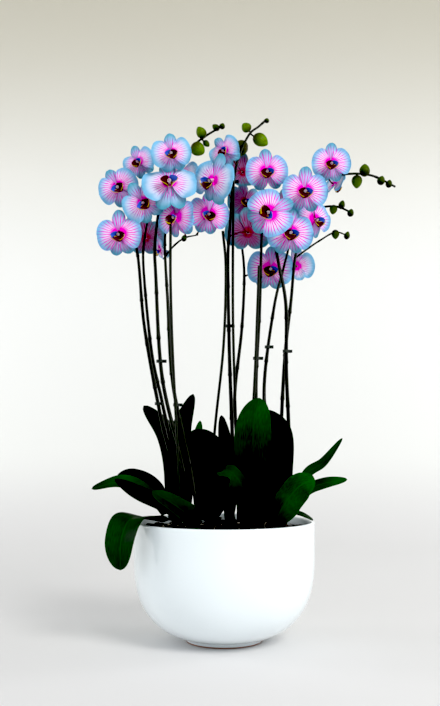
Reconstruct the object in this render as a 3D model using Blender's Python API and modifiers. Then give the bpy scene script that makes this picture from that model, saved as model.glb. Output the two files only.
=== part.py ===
"""A potted orchid: five plants with ten flower spikes in one white bowl.

Metres, +Z up, the front towards -Y. The bowl stands on z = 0, centred on the origin.
"""

import math

import bmesh
import bpy
import numpy as np
from mathutils import Matrix, Vector

# Bowl
BOWL_RADIUS = 0.150
BOWL_HEIGHT = 0.1945
SHOULDER_HEIGHT = 0.150  # where the curved side turns upright
SIDE_FULLNESS = 2.8  # exponent of the side's curve: 2 is an ellipse, more is boxier
FOOT_RADIUS = 0.063
FOOT_HEIGHT = 0.004
WALL = 0.0055
BASE_THICKNESS = 0.012
TURN_STEPS = 36

# Growing medium
MEDIUM_DEPTH_BELOW_RIM = 0.0125
MEDIUM_DOME = 0.002
MEDIUM_CLEARANCE = 0.0004

# Plants. Plan places in the lower half are shares of the bowl's radius.
BLOOM_HEIGHT = 0.700  # growing medium to the topmost bud
LAID_OUT_RADIUS = 0.150  # bowl radius and bloom height that the places below were laid out at
LAID_OUT_BLOOM = 0.700
CROWN_RADIUS = 0.0075
CROWN_RISE = 0.030
CROWN_DEPTH = 0.018
SPIKE_RADIUS = 0.0033
SPIKE_TIP_RADIUS = 0.0018
SPIKE_TAPER = 2.0  # 1 is an even taper, more keeps a spike stout for longer
PEDICEL_RADIUS = 0.0013
STAKE_RADIUS = 0.0023
STAKE_DEPTH = 0.040
HOLE_CLEARANCE = 0.0005
FLOWER_SCALE = 1.0
TEPAL_THICKNESS = 0.0014
LEAF_WIDTH_SCALE = 1.0
LEAF_THICKNESS = 0.0024
LEAF_FOLD = 0.22  # rise of the edges over the midrib, as a share of half the width
PIECE_GAP = 0.0005

# Crown places, as shares of the bowl's radius.
CROWNS = {
    "a": (-0.56, 0.12),
    "b": (-0.33, -0.46),
    "c": (0.10, 0.24),
    "d": (0.40, -0.36),
    "e": (0.68, 0.26),
}

# Spikes. Start: the place on the medium beside the crown, in shares of the bowl's radius.
# Lower: (share of the way to the head, sway in x, sway in y).
# Head: (x, y, drop below the topmost bud), from the lowest point of the head up.
SPIKES = {
    "a1": {
        "start": (-0.56, 0.12),
        "lower": [(0.21, 0.011, 0.000), (0.42, 0.002, -0.003), (0.74, -0.005, 0.002)],
        "head": [
            (-0.146, -0.014, 0.245), (-0.160, -0.030, 0.185), (-0.166, -0.012, 0.130),
            (-0.152, 0.002, 0.090),
        ],
    },
    "a2": {
        "start": (-0.50, 0.26),
        "lower": [(0.25, 0.005, 0.002), (0.48, -0.001, 0.008), (0.68, -0.007, 0.010)],
        "head": [(-0.138, 0.006, 0.262), (-0.136, 0.000, 0.207), (-0.125, -0.010, 0.160)],
    },
    "b1": {
        "start": (-0.33, -0.46),
        "lower": [(0.21, -0.002, 0.004), (0.52, -0.018, 0.012), (0.88, -0.007, 0.014)],
        "head": [
            (-0.115, -0.043, 0.225), (-0.105, -0.052, 0.157), (-0.092, -0.040, 0.110),
            (-0.070, -0.030, 0.078), (-0.041, -0.022, 0.044), (-0.003, -0.012, 0.016),
        ],
    },
    "b2": {
        "start": (-0.26, -0.56),
        "lower": [(0.22, -0.002, 0.008), (0.50, -0.014, -0.004), (0.80, -0.006, -0.008)],
        "head": [(-0.100, -0.020, 0.225), (-0.095, -0.020, 0.180), (-0.078, -0.020, 0.157)],
    },
    "c1": {
        "start": (0.10, 0.24),
        "lower": [(0.25, 0.001, -0.006), (0.57, -0.003, -0.007), (0.87, -0.004, -0.005)],
        "head": [
            (0.010, -0.012, 0.190), (0.015, -0.017, 0.125), (0.025, -0.018, 0.073),
            (0.043, -0.014, 0.032), (0.060, -0.010, 0.016), (0.074, -0.006, 0.002),
        ],
    },
    "c2": {
        "start": (0.17, 0.36),
        "lower": [(0.28, -0.004, -0.006), (0.50, -0.012, 0.000), (0.78, -0.002, 0.004)],
        "head": [(0.036, 0.054, 0.262), (0.031, 0.062, 0.199), (0.026, 0.070, 0.147)],
    },
    "d1": {
        "start": (0.40, -0.36),
        "lower": [(0.25, -0.005, 0.006), (0.48, -0.009, 0.010), (0.75, -0.003, 0.010)],
        "head": [(0.063, -0.036, 0.215), (0.067, -0.040, 0.160), (0.066, -0.018, 0.118)],
    },
    "d2": {
        "start": (0.49, -0.24),
        "lower": [(0.29, -0.010, 0.002), (0.55, -0.021, 0.010), (0.85, -0.012, 0.000)],
        "head": [(0.102, 0.016, 0.262), (0.112, 0.012, 0.222), (0.116, -0.006, 0.192)],
    },
    "e1": {
        "start": (0.68, 0.26),
        "lower": [(0.29, 0.011, -0.004), (0.60, 0.009, -0.008), (0.84, 0.010, -0.012)],
        "head": [
            (0.092, -0.022, 0.258), (0.087, -0.022, 0.220), (0.097, -0.020, 0.180),
            (0.122, -0.015, 0.139), (0.158, -0.008, 0.112), (0.205, -0.005, 0.099),
            (0.253, 0.000, 0.099), (0.297, 0.008, 0.117),
        ],
    },
    "e2": {
        "start": (0.60, 0.38),
        "lower": [(0.31, -0.003, -0.004), (0.62, -0.006, -0.008), (0.84, -0.002, -0.004)],
        "head": [
            (0.123, 0.018, 0.242), (0.136, 0.028, 0.198), (0.151, 0.034, 0.165),
            (0.174, 0.034, 0.147), (0.200, 0.030, 0.147), (0.222, 0.028, 0.157),
        ],
    },
}

# Side twigs: (spike, [(x, y, drop), ...]).
TWIGS = {
    "b2_low": ("b2", [(-0.102, -0.022, 0.250), (-0.086, -0.026, 0.230),
                      (-0.067, -0.030, 0.216), (-0.046, -0.030, 0.211)]),
    "e2_low": ("e2", [(0.124, 0.019, 0.240), (0.143, 0.022, 0.225), (0.167, 0.026, 0.208),
                      (0.194, 0.022, 0.194), (0.216, 0.020, 0.201)]),
}

# Buds: (spike, x, y, drop, length, width).
BUDS = [
    ("b1", -0.039, -0.026, 0.032, 0.020, 0.015),
    ("b1", -0.044, -0.028, 0.062, 0.024, 0.021),
    ("b1", -0.030, -0.024, 0.051, 0.013, 0.009),
    ("b1", -0.014, -0.014, 0.019, 0.013, 0.010),
    ("b1", -0.003, -0.012, 0.016, 0.010, 0.009),
    ("c1", 0.038, -0.020, 0.021, 0.016, 0.015),
    ("c1", 0.063, -0.015, 0.042, 0.026, 0.020),
    ("c1", 0.074, -0.006, 0.004, 0.010, 0.010),
    ("c1", 0.028, 0.004, 0.050, 0.036, 0.023),
    ("e1", 0.243, 0.000, 0.090, 0.021, 0.016),
    ("e1", 0.229, -0.002, 0.111, 0.021, 0.016),
    ("e1", 0.272, 0.004, 0.107, 0.015, 0.012),
    ("e1", 0.286, 0.007, 0.112, 0.013, 0.010),
    ("e2", 0.192, 0.030, 0.152, 0.016, 0.012),
    ("e2", 0.207, 0.030, 0.143, 0.015, 0.010),
    ("e2", 0.222, 0.028, 0.158, 0.013, 0.010),
    ("e2", 0.194, 0.022, 0.198, 0.015, 0.012),
    ("e2", 0.214, 0.020, 0.200, 0.013, 0.009),
    ("b2", -0.067, -0.030, 0.216, 0.011, 0.008),
]

# Flowers: (spike, x, y, drop, span, yaw, pitch, roll). Yaw 0 faces the front, pitch lifts
# the face and roll turns it anticlockwise, in degrees.
FLOWERS = {
    "flower_01": ("a1", -0.146, -0.022, 0.082, 0.057, -20, 0, 25),
    "flower_02": ("b1", -0.086, -0.096, 0.090, 0.064, 0, 0, 8),
    "flower_03": ("b1", -0.089, -0.090, 0.139, 0.088, 0, 26, 6),
    "flower_04": ("a1", -0.178, -0.040, 0.131, 0.068, -10, 0, 30),
    "flower_05": ("a2", -0.132, -0.080, 0.168, 0.070, -8, -8, 35),
    "flower_06": ("a1", -0.172, -0.070, 0.218, 0.073, -5, 0, 3),
    "flower_07": ("a2", -0.138, 0.042, 0.200, 0.070, 180, 5, 0),
    "flower_08": ("b2", -0.079, -0.074, 0.191, 0.070, -35, 0, 0),
    "flower_09": ("b2", -0.026, -0.052, 0.180, 0.068, 10, 0, -10),
    "flower_10": ("c1", -0.018, -0.092, 0.135, 0.080, -38, 0, -22),
    "flower_11": ("c1", 0.000, -0.052, 0.073, 0.056, -30, 0, 35),
    "flower_12": ("b1", -0.074, 0.004, 0.092, 0.060, 168, 0, 10),
    "flower_13": ("b2", -0.110, 0.008, 0.226, 0.048, -75, -20, 0),
    "flower_14": ("a2", -0.112, 0.030, 0.140, 0.056, 170, 0, 0),
    "flower_15": ("c1", 0.041, 0.002, 0.200, 0.078, 180, 0, 0),
    "flower_16": ("c2", 0.037, 0.042, 0.133, 0.062, 15, 0, 0),
    "flower_17": ("c1", 0.033, 0.022, 0.088, 0.064, 185, 0, 0),
    "flower_18": ("d1", 0.072, -0.044, 0.105, 0.070, 0, 0, 5),
    "flower_19": ("d1", 0.073, -0.090, 0.188, 0.078, 0, 0, -60),
    "flower_20": ("e1", 0.134, -0.060, 0.143, 0.074, 0, 0, 0),
    "flower_21": ("e1", 0.181, -0.036, 0.089, 0.065, 0, 0, 0),
    "flower_22": ("e1", 0.193, 0.018, 0.110, 0.054, 120, -20, 0),
    "flower_23": ("d2", 0.109, -0.052, 0.211, 0.078, 8, 0, 0),
    "flower_24": ("e2", 0.155, 0.000, 0.177, 0.072, 35, 0, 10),
    "flower_25": ("d1", 0.102, 0.018, 0.149, 0.056, 180, 0, 10),
    "flower_26": ("c2", 0.082, 0.048, 0.253, 0.080, 0, 0, 0),
    "flower_27": ("e2", 0.130, 0.066, 0.246, 0.064, 170, 0, 0),
}

# Half of a flower's outline: (angle, reach as a share of the span, set forward as a share).
HALF_OUTLINE = [
    (72, 0.50, -0.03), (56, 0.44, 0.02), (38, 0.49, 0.03), (16, 0.51, 0.02),
    (-8, 0.49, 0.02), (-28, 0.43, 0.03), (-46, 0.46, -0.03), (-66, 0.49, -0.06),
]
DORSAL_REACH, DORSAL_SET = 0.54, -0.05
CLEFT_REACH, CLEFT_SET = 0.34, -0.05
THROAT_SHARE, LIP_SHARE = 0.13, 0.085
LIP_FORWARD, LIP_TIP_FORWARD, LIP_DROP = 0.13, 0.16, 0.06

# Leaves: (crown, width, side, tilt, taper, [(x, y, rise), ...]). x and y are shares of the
# bowl's radius and rise is metres over the medium. Side is the blade's breadth direction in
# degrees from +X, tilt lifts it, and a higher taper keeps the blade broad nearer its tip.
# The first point is the base, beside the crown.
LEAVES = {
    "leaf_01": ("a", 0.064, -30, 0, 5, [(-0.68, -0.08, 0.012), (-0.86, -0.32, 0.020),
                                        (-1.00, -0.53, 0.019), (-1.07, -0.64, -0.012),
                                        (-1.07, -0.68, -0.054)]),
    "leaf_02": ("a", 0.032, 80, 38, 4, [(-0.68, 0.14, 0.024), (-0.88, 0.04, 0.060),
                                        (-1.14, -0.10, 0.076), (-1.45, -0.18, 0.066)]),
    "leaf_03": ("a", 0.046, 95, 55, 4, [(-0.66, 0.28, 0.020), (-0.84, 0.34, 0.058),
                                        (-1.06, 0.42, 0.077), (-1.26, 0.48, 0.080)]),
    "leaf_04": ("a", 0.046, 10, 0, 3, [(-0.56, 0.42, 0.006), (-0.56, 0.56, 0.090),
                                       (-0.68, 0.63, 0.155), (-0.96, 0.67, 0.207)]),
    "leaf_05": ("b", 0.046, -10, 0, 2, [(-0.44, -0.36, 0.020), (-0.48, -0.24, 0.090),
                                        (-0.47, -0.20, 0.160), (-0.34, -0.18, 0.222)]),
    "leaf_06": ("c", 0.024, 10, 0, 3, [(-0.10, 0.40, 0.006), (-0.22, 0.48, 0.096),
                                       (-0.31, 0.52, 0.138), (-0.28, 0.54, 0.180)]),
    "leaf_07": ("b", 0.066, 10, 0, 4, [(-0.20, -0.30, 0.016), (-0.10, -0.34, 0.078),
                                       (-0.18, -0.36, 0.128), (-0.38, -0.40, 0.158)]),
    "leaf_08": ("c", 0.030, 5, 0, 3, [(0.06, 0.46, 0.006), (0.07, 0.54, 0.078),
                                      (0.02, 0.60, 0.138), (-0.03, 0.64, 0.190)]),
    "leaf_09": ("d", 0.062, 0, 0, 5, [(0.40, -0.50, 0.016), (0.32, -0.56, 0.096),
                                      (0.31, -0.54, 0.164), (0.38, -0.44, 0.214)]),
    "leaf_10": ("e", 0.050, 0, 0, 5, [(0.60, 0.06, 0.012), (0.60, -0.01, 0.085),
                                      (0.61, -0.03, 0.156), (0.45, 0.04, 0.196)]),
    "leaf_11": ("d", 0.048, 60, 20, 4, [(0.28, -0.50, 0.010), (0.22, -0.74, 0.060),
                                        (0.08, -0.86, 0.096), (-0.08, -0.90, 0.096)]),
    "leaf_12": ("e", 0.020, 100, 60, 3, [(0.80, 0.32, 0.020), (0.95, 0.36, 0.084),
                                         (1.16, 0.38, 0.108), (1.38, 0.40, 0.149)]),
    "leaf_13": ("e", 0.022, 90, 60, 4, [(0.80, 0.18, 0.022), (0.94, 0.06, 0.060),
                                        (1.12, -0.04, 0.074), (1.36, -0.10, 0.081)]),
    "leaf_14": ("d", 0.048, 140, 10, 4, [(0.52, -0.46, 0.014), (0.66, -0.64, 0.053),
                                         (0.78, -0.78, 0.076), (0.92, -0.86, 0.087)]),
    "leaf_15": ("d", 0.036, 80, 0, 4, [(0.54, -0.38, 0.020), (0.66, -0.36, 0.030),
                                       (0.80, -0.40, 0.027), (0.94, -0.46, 0.019)]),
    "leaf_16": ("b", 0.040, 60, 30, 3, [(-0.27, -0.62, 0.012), (-0.40, -0.80, 0.034),
                                        (-0.56, -0.86, 0.052), (-0.74, -0.84, 0.068)]),
    "leaf_17": ("b", 0.036, 90, 45, 3, [(-0.52, -0.42, 0.030), (-0.70, -0.46, 0.046),
                                        (-0.92, -0.52, 0.062), (-1.16, -0.52, 0.084)]),
}

# Stakes: the place in the medium, the lower sway and the points in the head, as for spikes.
STAKES = {
    "stake_1": {"start": (-0.46, -0.58), "lower": [(0.3, 0.001, 0.0), (0.7, -0.001, 0.0)],
                "head": [(-0.087, -0.076, 0.300), (-0.087, -0.084, 0.206)]},
    "stake_2": {"start": (0.20, 0.04), "lower": [(0.3, -0.004, 0.0), (0.7, -0.004, -0.002)],
                "head": [(0.015, -0.018, 0.240), (0.016, -0.030, 0.123)]},
    "stake_3": {"start": (-0.16, 0.10), "lower": [(0.35, -0.002, -0.004), (0.7, 0.004, -0.004)],
                "head": [(0.003, -0.024, 0.270), (-0.002, -0.026, 0.203)]},
    "stake_4": {"start": (0.22, -0.20), "lower": [(0.35, 0.002, -0.006), (0.7, 0.002, -0.006)],
                "head": [(0.055, -0.046, 0.340), (0.058, -0.046, 0.266)]},
}

MEDIUM_TOP = BOWL_HEIGHT - MEDIUM_DEPTH_BELOW_RIM
TOP = MEDIUM_TOP + BLOOM_HEIGHT
SPREAD = BOWL_RADIUS / LAID_OUT_RADIUS  # a wider bowl spreads the heads
GROWTH = BLOOM_HEIGHT / LAID_OUT_BLOOM  # taller plants have taller leaves and heads


def collection(name):
    made = bpy.data.collections.new(name)
    bpy.context.scene.collection.children.link(made)
    return made


def material(name, colour, roughness):
    made = bpy.data.materials.new(name)
    made.use_nodes = True
    shader = made.node_tree.nodes["Principled BSDF"]
    shader.inputs["Base Color"].default_value = (*colour, 1.0)
    shader.inputs["Roughness"].default_value = roughness
    return made


def add_object(name, mesh, home, colour=(0.5, 0.5, 0.5), roughness=0.5):
    made = bpy.data.objects.new(name, mesh)
    home.objects.link(made)
    mesh.materials.append(material(name, colour, roughness))
    return made


def helper(made):
    made.hide_render = True
    made.display_type = "WIRE"
    return made


def smooth(made, angle=40.0):
    made.data.shade_smooth()
    made.data.set_sharp_from_angle(angle=math.radians(angle))


def mesh_from(points, faces):
    mesh = bpy.data.meshes.new("mesh")
    mesh.from_pydata([tuple(map(float, point)) for point in points], [], faces)
    mesh.update()
    return mesh


def curve_through(points, pieces):
    """Points along a smooth curve through the given ones, with `pieces` steps to a span."""
    given = np.array(points, float)
    ends = np.vstack([2 * given[0] - given[1], given, 2 * given[-1] - given[-2]])
    share = np.arange(pieces)[:, None] / pieces
    spans = []
    for a, b, c, d in zip(ends[:-3], ends[1:-2], ends[2:-1], ends[3:]):
        spans.append(0.5 * (2 * b + (c - a) * share + (2 * a - 5 * b + 4 * c - d) * share**2
                            + (3 * b - a - 3 * c + d) * share**3))
    return np.vstack([*spans, given[-1:]])


def tube(name, points, radii, home, resolution=1):
    """A round rod along the points, as a mesh with closed ends."""
    curve = bpy.data.curves.new(name, "CURVE")
    curve.dimensions = "3D"
    curve.bevel_depth = 1.0
    curve.bevel_resolution = resolution
    curve.use_fill_caps = True
    spline = curve.splines.new("POLY")
    spline.points.add(len(points) - 1)
    for place, point, radius in zip(spline.points, points, radii):
        place.co = (*map(float, point), 1.0)
        place.radius = float(radius)
    drawn = bpy.data.objects.new(name, curve)
    home.objects.link(drawn)
    bpy.context.view_layer.update()
    graph = bpy.context.evaluated_depsgraph_get()
    mesh = bpy.data.meshes.new_from_object(drawn.evaluated_get(graph))
    bpy.data.objects.remove(drawn)
    bpy.data.curves.remove(curve)
    shape = bmesh.new()
    shape.from_mesh(mesh)
    bmesh.ops.remove_doubles(shape, verts=shape.verts, dist=1e-6)
    bmesh.ops.recalc_face_normals(shape, faces=shape.faces)
    shape.to_mesh(mesh)
    shape.free()
    return mesh


def turned(name, profile, home, colour, roughness):
    """A solid of revolution from (radius, height) pairs, the outer side from top to bottom."""
    mesh = bpy.data.meshes.new(name)
    mesh.from_pydata([(r, 0, z) for r, z in profile],
                     [(i, i + 1) for i in range(len(profile) - 1)], [])
    made = add_object(name, mesh, home, colour, roughness)
    screw = made.modifiers.new("turn", "SCREW")
    screw.angle = math.tau
    screw.steps = screw.render_steps = TURN_STEPS
    screw.use_merge_vertices = True
    screw.merge_threshold = 0.00002
    screw.use_smooth_shade = True
    return made


def side_curve(radius, bottom, count, from_radius):
    """The bowl's curved side from the shoulder down, as (radius, height) pairs."""
    power = 2.0 / SIDE_FULLNESS
    last = math.acos((from_radius / radius) ** (1 / power))
    rows = []
    for turn in np.linspace(0.0, last, count):
        drop = (SHOULDER_HEIGHT - bottom) * math.sin(turn) ** power
        rows.append((radius * math.cos(turn) ** power, SHOULDER_HEIGHT - drop))
    return rows


def build_bowl(home):
    inner = BOWL_RADIUS - WALL
    rim = BOWL_HEIGHT
    profile = [(inner + 0.3 * WALL, rim), (BOWL_RADIUS - 0.25 * WALL, rim),
               (BOWL_RADIUS, rim - 0.35 * WALL)]
    profile += side_curve(BOWL_RADIUS, 0.0015, 9, FOOT_RADIUS + 0.001)
    profile += [(FOOT_RADIUS, FOOT_HEIGHT * 0.4), (FOOT_RADIUS, 0.0), (0.0, 0.0)]
    inside = side_curve(inner, BASE_THICKNESS, 6, 0.35 * inner)
    profile += [(0.0, inside[-1][1]), *reversed(inside), (inner, rim - 0.35 * WALL),
                (inner + 0.3 * WALL, rim)]
    made = turned("bowl", profile, home, (0.86, 0.86, 0.84), 0.12)
    weld = made.modifiers.new("close", "WELD")
    weld.merge_threshold = 0.00002
    smooth(made, 50)
    return made


def build_medium(home, holes):
    outer = BOWL_RADIUS - WALL - MEDIUM_CLEARANCE
    low = BASE_THICKNESS + MEDIUM_CLEARANCE
    profile = [(0.0, MEDIUM_TOP), (0.92 * outer, MEDIUM_TOP - 0.3 * MEDIUM_DOME),
               (outer, MEDIUM_TOP - MEDIUM_DOME)]
    side = side_curve(outer, low, 6, 0.35 * outer)
    profile += side + [(0.0, side[-1][1])]
    made = turned("growing_medium", profile, home, (0.10, 0.07, 0.04), 0.9)
    cut = made.modifiers.new("holes", "BOOLEAN")
    cut.operation = "DIFFERENCE"
    cut.solver = "EXACT"
    cut.operand_type = "COLLECTION"
    cut.collection = holes
    smooth(made, 50)
    return made


def head_place(x, y, drop):
    """A place in the heads. They spread with the bowl and with the size of the flowers."""
    spread = SPREAD * FLOWER_SCALE
    return Vector((x * spread, y * spread, TOP - drop * FLOWER_SCALE))


def rod_points(spec):
    """The way of a spike or stake: from the medium, up through its lower points and head."""
    start = Vector((spec["start"][0] * BOWL_RADIUS, spec["start"][1] * BOWL_RADIUS, MEDIUM_TOP))
    head = [head_place(*place) for place in spec["head"]]
    points = [start]
    for share, sway_x, sway_y in spec["lower"]:
        sway = Vector((sway_x, sway_y, 0.0)) * SPREAD
        points.append(start.lerp(head[0], share) + sway)
    return points + head


def hole(name, x, y, radius, depth, holes):
    """A cutter for a hole in the medium, from above its surface down."""
    top = MEDIUM_TOP + 0.01
    shape = bmesh.new()
    bmesh.ops.create_cone(shape, cap_ends=True, segments=8, radius1=radius, radius2=radius,
                          depth=top - (MEDIUM_TOP - depth))
    bmesh.ops.translate(shape, verts=shape.verts,
                        vec=(x, y, (top + MEDIUM_TOP - depth) / 2))
    mesh = bpy.data.meshes.new(name)
    shape.to_mesh(mesh)
    shape.free()
    helper(add_object(name, mesh, holes))


def flower_frame(spec):
    """Where a flower sits and how it is turned: its own +Z is the way that it faces."""
    _, x, y, drop, span, yaw, pitch, roll = spec
    turn = (Matrix.Rotation(math.radians(yaw), 4, "Z")
            @ Matrix.Rotation(math.radians(90 - pitch), 4, "X")
            @ Matrix.Rotation(math.radians(roll), 4, "Z"))
    return Matrix.Translation(head_place(x, y, drop)) @ turn


def build_flower(name, spec, home):
    span = spec[4] * FLOWER_SCALE
    right = [(a, r * span, f * span) for a, r, f in HALF_OUTLINE]
    left = [(180 - a, r, f) for a, r, f in right]
    edge = ([(90, DORSAL_REACH * span, DORSAL_SET * span)] + left
            + [(270, CLEFT_REACH * span, CLEFT_SET * span)] + right[::-1])
    drop = -LIP_DROP * span
    lip, throat = LIP_SHARE * span, THROAT_SHARE * span
    angles = np.radians([angle for angle, _, _ in edge])
    reach = np.array([reach for _, reach, _ in edge])
    set_forward = np.array([forward for _, _, forward in edge])
    way = np.stack([np.cos(angles), np.sin(angles)], axis=1)

    def ring(radius, lower, forward):
        flat = way * np.reshape(radius, (-1, 1)) + (0.0, lower)
        return np.column_stack([flat, np.broadcast_to(forward, len(flat))])

    count = len(edge)
    points = np.vstack([
        [(0.0, drop, LIP_TIP_FORWARD * span)], ring(np.full(count, lip), drop, LIP_FORWARD * span),
        ring(np.full(count, throat), drop, 0.0), ring(reach, 0.0, set_forward),
        ring(reach, 0.0, set_forward - TEPAL_THICKNESS),
        ring(np.full(count, throat), drop, -TEPAL_THICKNESS), [(0.0, drop, -TEPAL_THICKNESS)],
    ])
    faces = []
    for i in range(count):
        j = (i + 1) % count
        faces.append((0, 1 + i, 1 + j))
        for base in range(1, 1 + 4 * count, count):
            faces.append((base + i, base + count + i, base + count + j, base + j))
        faces.append((1 + 4 * count + i, 1 + 5 * count, 1 + 4 * count + j))
    mesh = mesh_from(points, faces)
    mesh.transform(flower_frame(spec))
    made = add_object(name, mesh, home, (0.86, 0.74, 0.90), 0.5)
    smooth(made, 60)
    return made


def bud_mesh(name, centre, along, length, width):
    shape = bmesh.new()
    bmesh.ops.create_uvsphere(shape, u_segments=6, v_segments=4, radius=0.5)
    bmesh.ops.scale(shape, verts=shape.verts, vec=(width, width, length))
    bmesh.ops.transform(shape, verts=shape.verts,
                        matrix=along.to_track_quat("Z", "Y").to_matrix().to_4x4())
    bmesh.ops.translate(shape, verts=shape.verts, vec=centre)
    mesh = bpy.data.meshes.new(name)
    shape.to_mesh(mesh)
    shape.free()
    return mesh


def nearest(way, point):
    return Vector(way[np.linalg.norm(way - np.array(point), axis=1).argmin()])


def build_spike(name, home, helpers_home):
    spec = SPIKES[name]
    points = rod_points(spec)
    crowned = spec["start"] == CROWNS[name[0]]
    if not crowned:
        points[0] = points[0] + Vector((0, 0, PIECE_GAP + MEDIUM_DOME))
    way = curve_through(points, 2)
    share = np.linspace(0, 1, len(way))
    radii = SPIKE_RADIUS - (SPIKE_RADIUS - SPIKE_TIP_RADIUS) * share**SPIKE_TAPER
    made = add_object("spike_" + name, tube(name, way, radii, home), home,
                      (0.08, 0.13, 0.04), 0.45)
    joined = bpy.data.collections.new("joined_" + name)
    helpers_home.children.link(joined)

    def join(label, mesh):
        helper(add_object(f"{name}_{label}", mesh, joined))

    if crowned:
        x, y = points[0].x, points[0].y
        crown = [(x, y, MEDIUM_TOP - CROWN_DEPTH), (x, y, MEDIUM_TOP),
                 Vector(way[1]) * 0.5 + Vector((x, y, MEDIUM_TOP + CROWN_RISE)) * 0.5]
        join("crown", tube("crown", crown, [0.6 * CROWN_RADIUS, CROWN_RADIUS,
                                            0.7 * SPIKE_RADIUS + 0.001], joined))
    upper = way[len(way) // 3:]
    for label, (spike, rows) in TWIGS.items():
        if spike == name:
            twig = curve_through([head_place(*place) for place in rows], 2)
            join(label, tube(label, twig, np.linspace(0.0016, 0.0010, len(twig)), joined))
            upper = np.vstack([upper, twig])
    for i, (spike, x, y, drop, length, width) in enumerate(BUDS):
        if spike != name:
            continue
        centre = head_place(x, y, drop)
        foot = nearest(upper, centre)
        out = centre - foot
        along = out.normalized() if out.length > 0.003 else Vector((0.3, 0, 1)).normalized()
        join(f"bud_{i}", bud_mesh("bud", centre, along, length, width))
        if out.length > 0.4 * width:
            join(f"stalk_{i}", tube("stalk", [foot, foot.lerp(centre, 0.5), centre],
                                    [PEDICEL_RADIUS] * 3, joined))
    for label, flower in FLOWERS.items():
        if flower[0] != name:
            continue
        frame = flower_frame(flower)
        facing = (frame.to_3x3() @ Vector((0, 0, 1))).normalized()
        up = Vector((0, 0, 1))
        back = frame.translation - facing * (TEPAL_THICKNESS + PIECE_GAP + PEDICEL_RADIUS)
        foot = nearest(upper, back - up * 0.012 - facing * 0.012)
        bend = foot.lerp(back - facing * 0.010, 0.55) + up * 0.002
        stalk = [foot, bend, back - facing * 0.005, back]
        join("pedicel_" + label, tube("pedicel", stalk, [PEDICEL_RADIUS] * 4, joined))
    union = made.modifiers.new("join", "BOOLEAN")
    union.operation = "UNION"
    union.solver = "EXACT"
    union.operand_type = "COLLECTION"
    union.collection = joined
    smooth(made, 60)
    return made


def build_leaf(name, spec, home):
    _, width, side_angle, tilt, taper, rows = spec
    width *= LEAF_WIDTH_SCALE
    points = [(x * BOWL_RADIUS, y * BOWL_RADIUS, MEDIUM_TOP + rise * GROWTH)
              for x, y, rise in rows]
    way = curve_through(points, 3)
    level, lift = math.cos(math.radians(tilt)), math.sin(math.radians(tilt))
    side = np.array([level * math.cos(math.radians(side_angle)),
                     level * math.sin(math.radians(side_angle)), lift])
    share = np.linspace(0, 1, len(way))
    half = 0.5 * width * np.clip(np.minimum(0.24 + 3.0 * share, 1.15 - 0.2 * share), 0, 1)
    half *= np.sqrt(np.clip(1.0 - share**taper, 0.0025, 1))
    tangent = np.gradient(way, axis=0)
    tangent /= np.linalg.norm(tangent, axis=1)[:, None]
    across = side - tangent * (tangent @ side)[:, None]
    across /= np.linalg.norm(across, axis=1)[:, None]
    upper = np.cross(tangent, across)
    upper *= np.where(upper[len(upper) // 3, 2] < 0, -1, 1)
    lift = upper * (half * LEAF_FOLD)[:, None]
    left = way - across * half[:, None] + lift
    right = way + across * half[:, None] + lift
    count = len(way)
    grid = np.concatenate([left, way, right])
    faces = []
    for i in range(count - 1):
        for row in (0, count):
            faces.append((row + i, row + i + 1, row + count + i + 1, row + count + i))
    mesh = mesh_from(grid, faces)
    made = add_object(name, mesh, home, (0.05, 0.16, 0.04), 0.35)
    thick = made.modifiers.new("thickness", "SOLIDIFY")
    thick.thickness = LEAF_THICKNESS
    thick.offset = 0.0
    smooth(made, 45)
    return made


def build_stake(name, spec, home):
    points = rod_points(spec)
    lower = Vector((points[0].x, points[0].y, MEDIUM_TOP - STAKE_DEPTH))
    way = np.vstack([np.array(lower)[None], curve_through(points, 2)])
    made = add_object(name, tube(name, way, [STAKE_RADIUS] * len(way), home), home,
                      (0.05, 0.06, 0.03), 0.5)
    smooth(made, 50)
    return made


def main():
    for old in list(bpy.data.objects):
        bpy.data.objects.remove(old)
    home = collection("potted_orchid")
    helpers_home = collection("helpers")
    holes = bpy.data.collections.new("holes")
    helpers_home.children.link(holes)
    for name, (x, y) in CROWNS.items():
        hole("crown_hole_" + name, x * BOWL_RADIUS, y * BOWL_RADIUS,
             CROWN_RADIUS + HOLE_CLEARANCE, CROWN_DEPTH + HOLE_CLEARANCE, holes)
    for name, spec in STAKES.items():
        x, y = spec["start"]
        hole("hole_" + name, x * BOWL_RADIUS, y * BOWL_RADIUS,
             STAKE_RADIUS + HOLE_CLEARANCE, STAKE_DEPTH + HOLE_CLEARANCE, holes)
    build_bowl(home)
    build_medium(home, holes)
    for name in SPIKES:
        build_spike(name, home, helpers_home)
    for name, spec in STAKES.items():
        build_stake(name, spec, home)
    for name, spec in LEAVES.items():
        build_leaf(name, spec, home)
    for name, spec in FLOWERS.items():
        build_flower(name, spec, home)


main()
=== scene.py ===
"""Potted orchid: five moth orchids in a white glazed bowl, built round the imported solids.

Metres, +Z up, the front towards -Y. Every piece is worked out in place, so its object sits
at the origin.
"""

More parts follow.
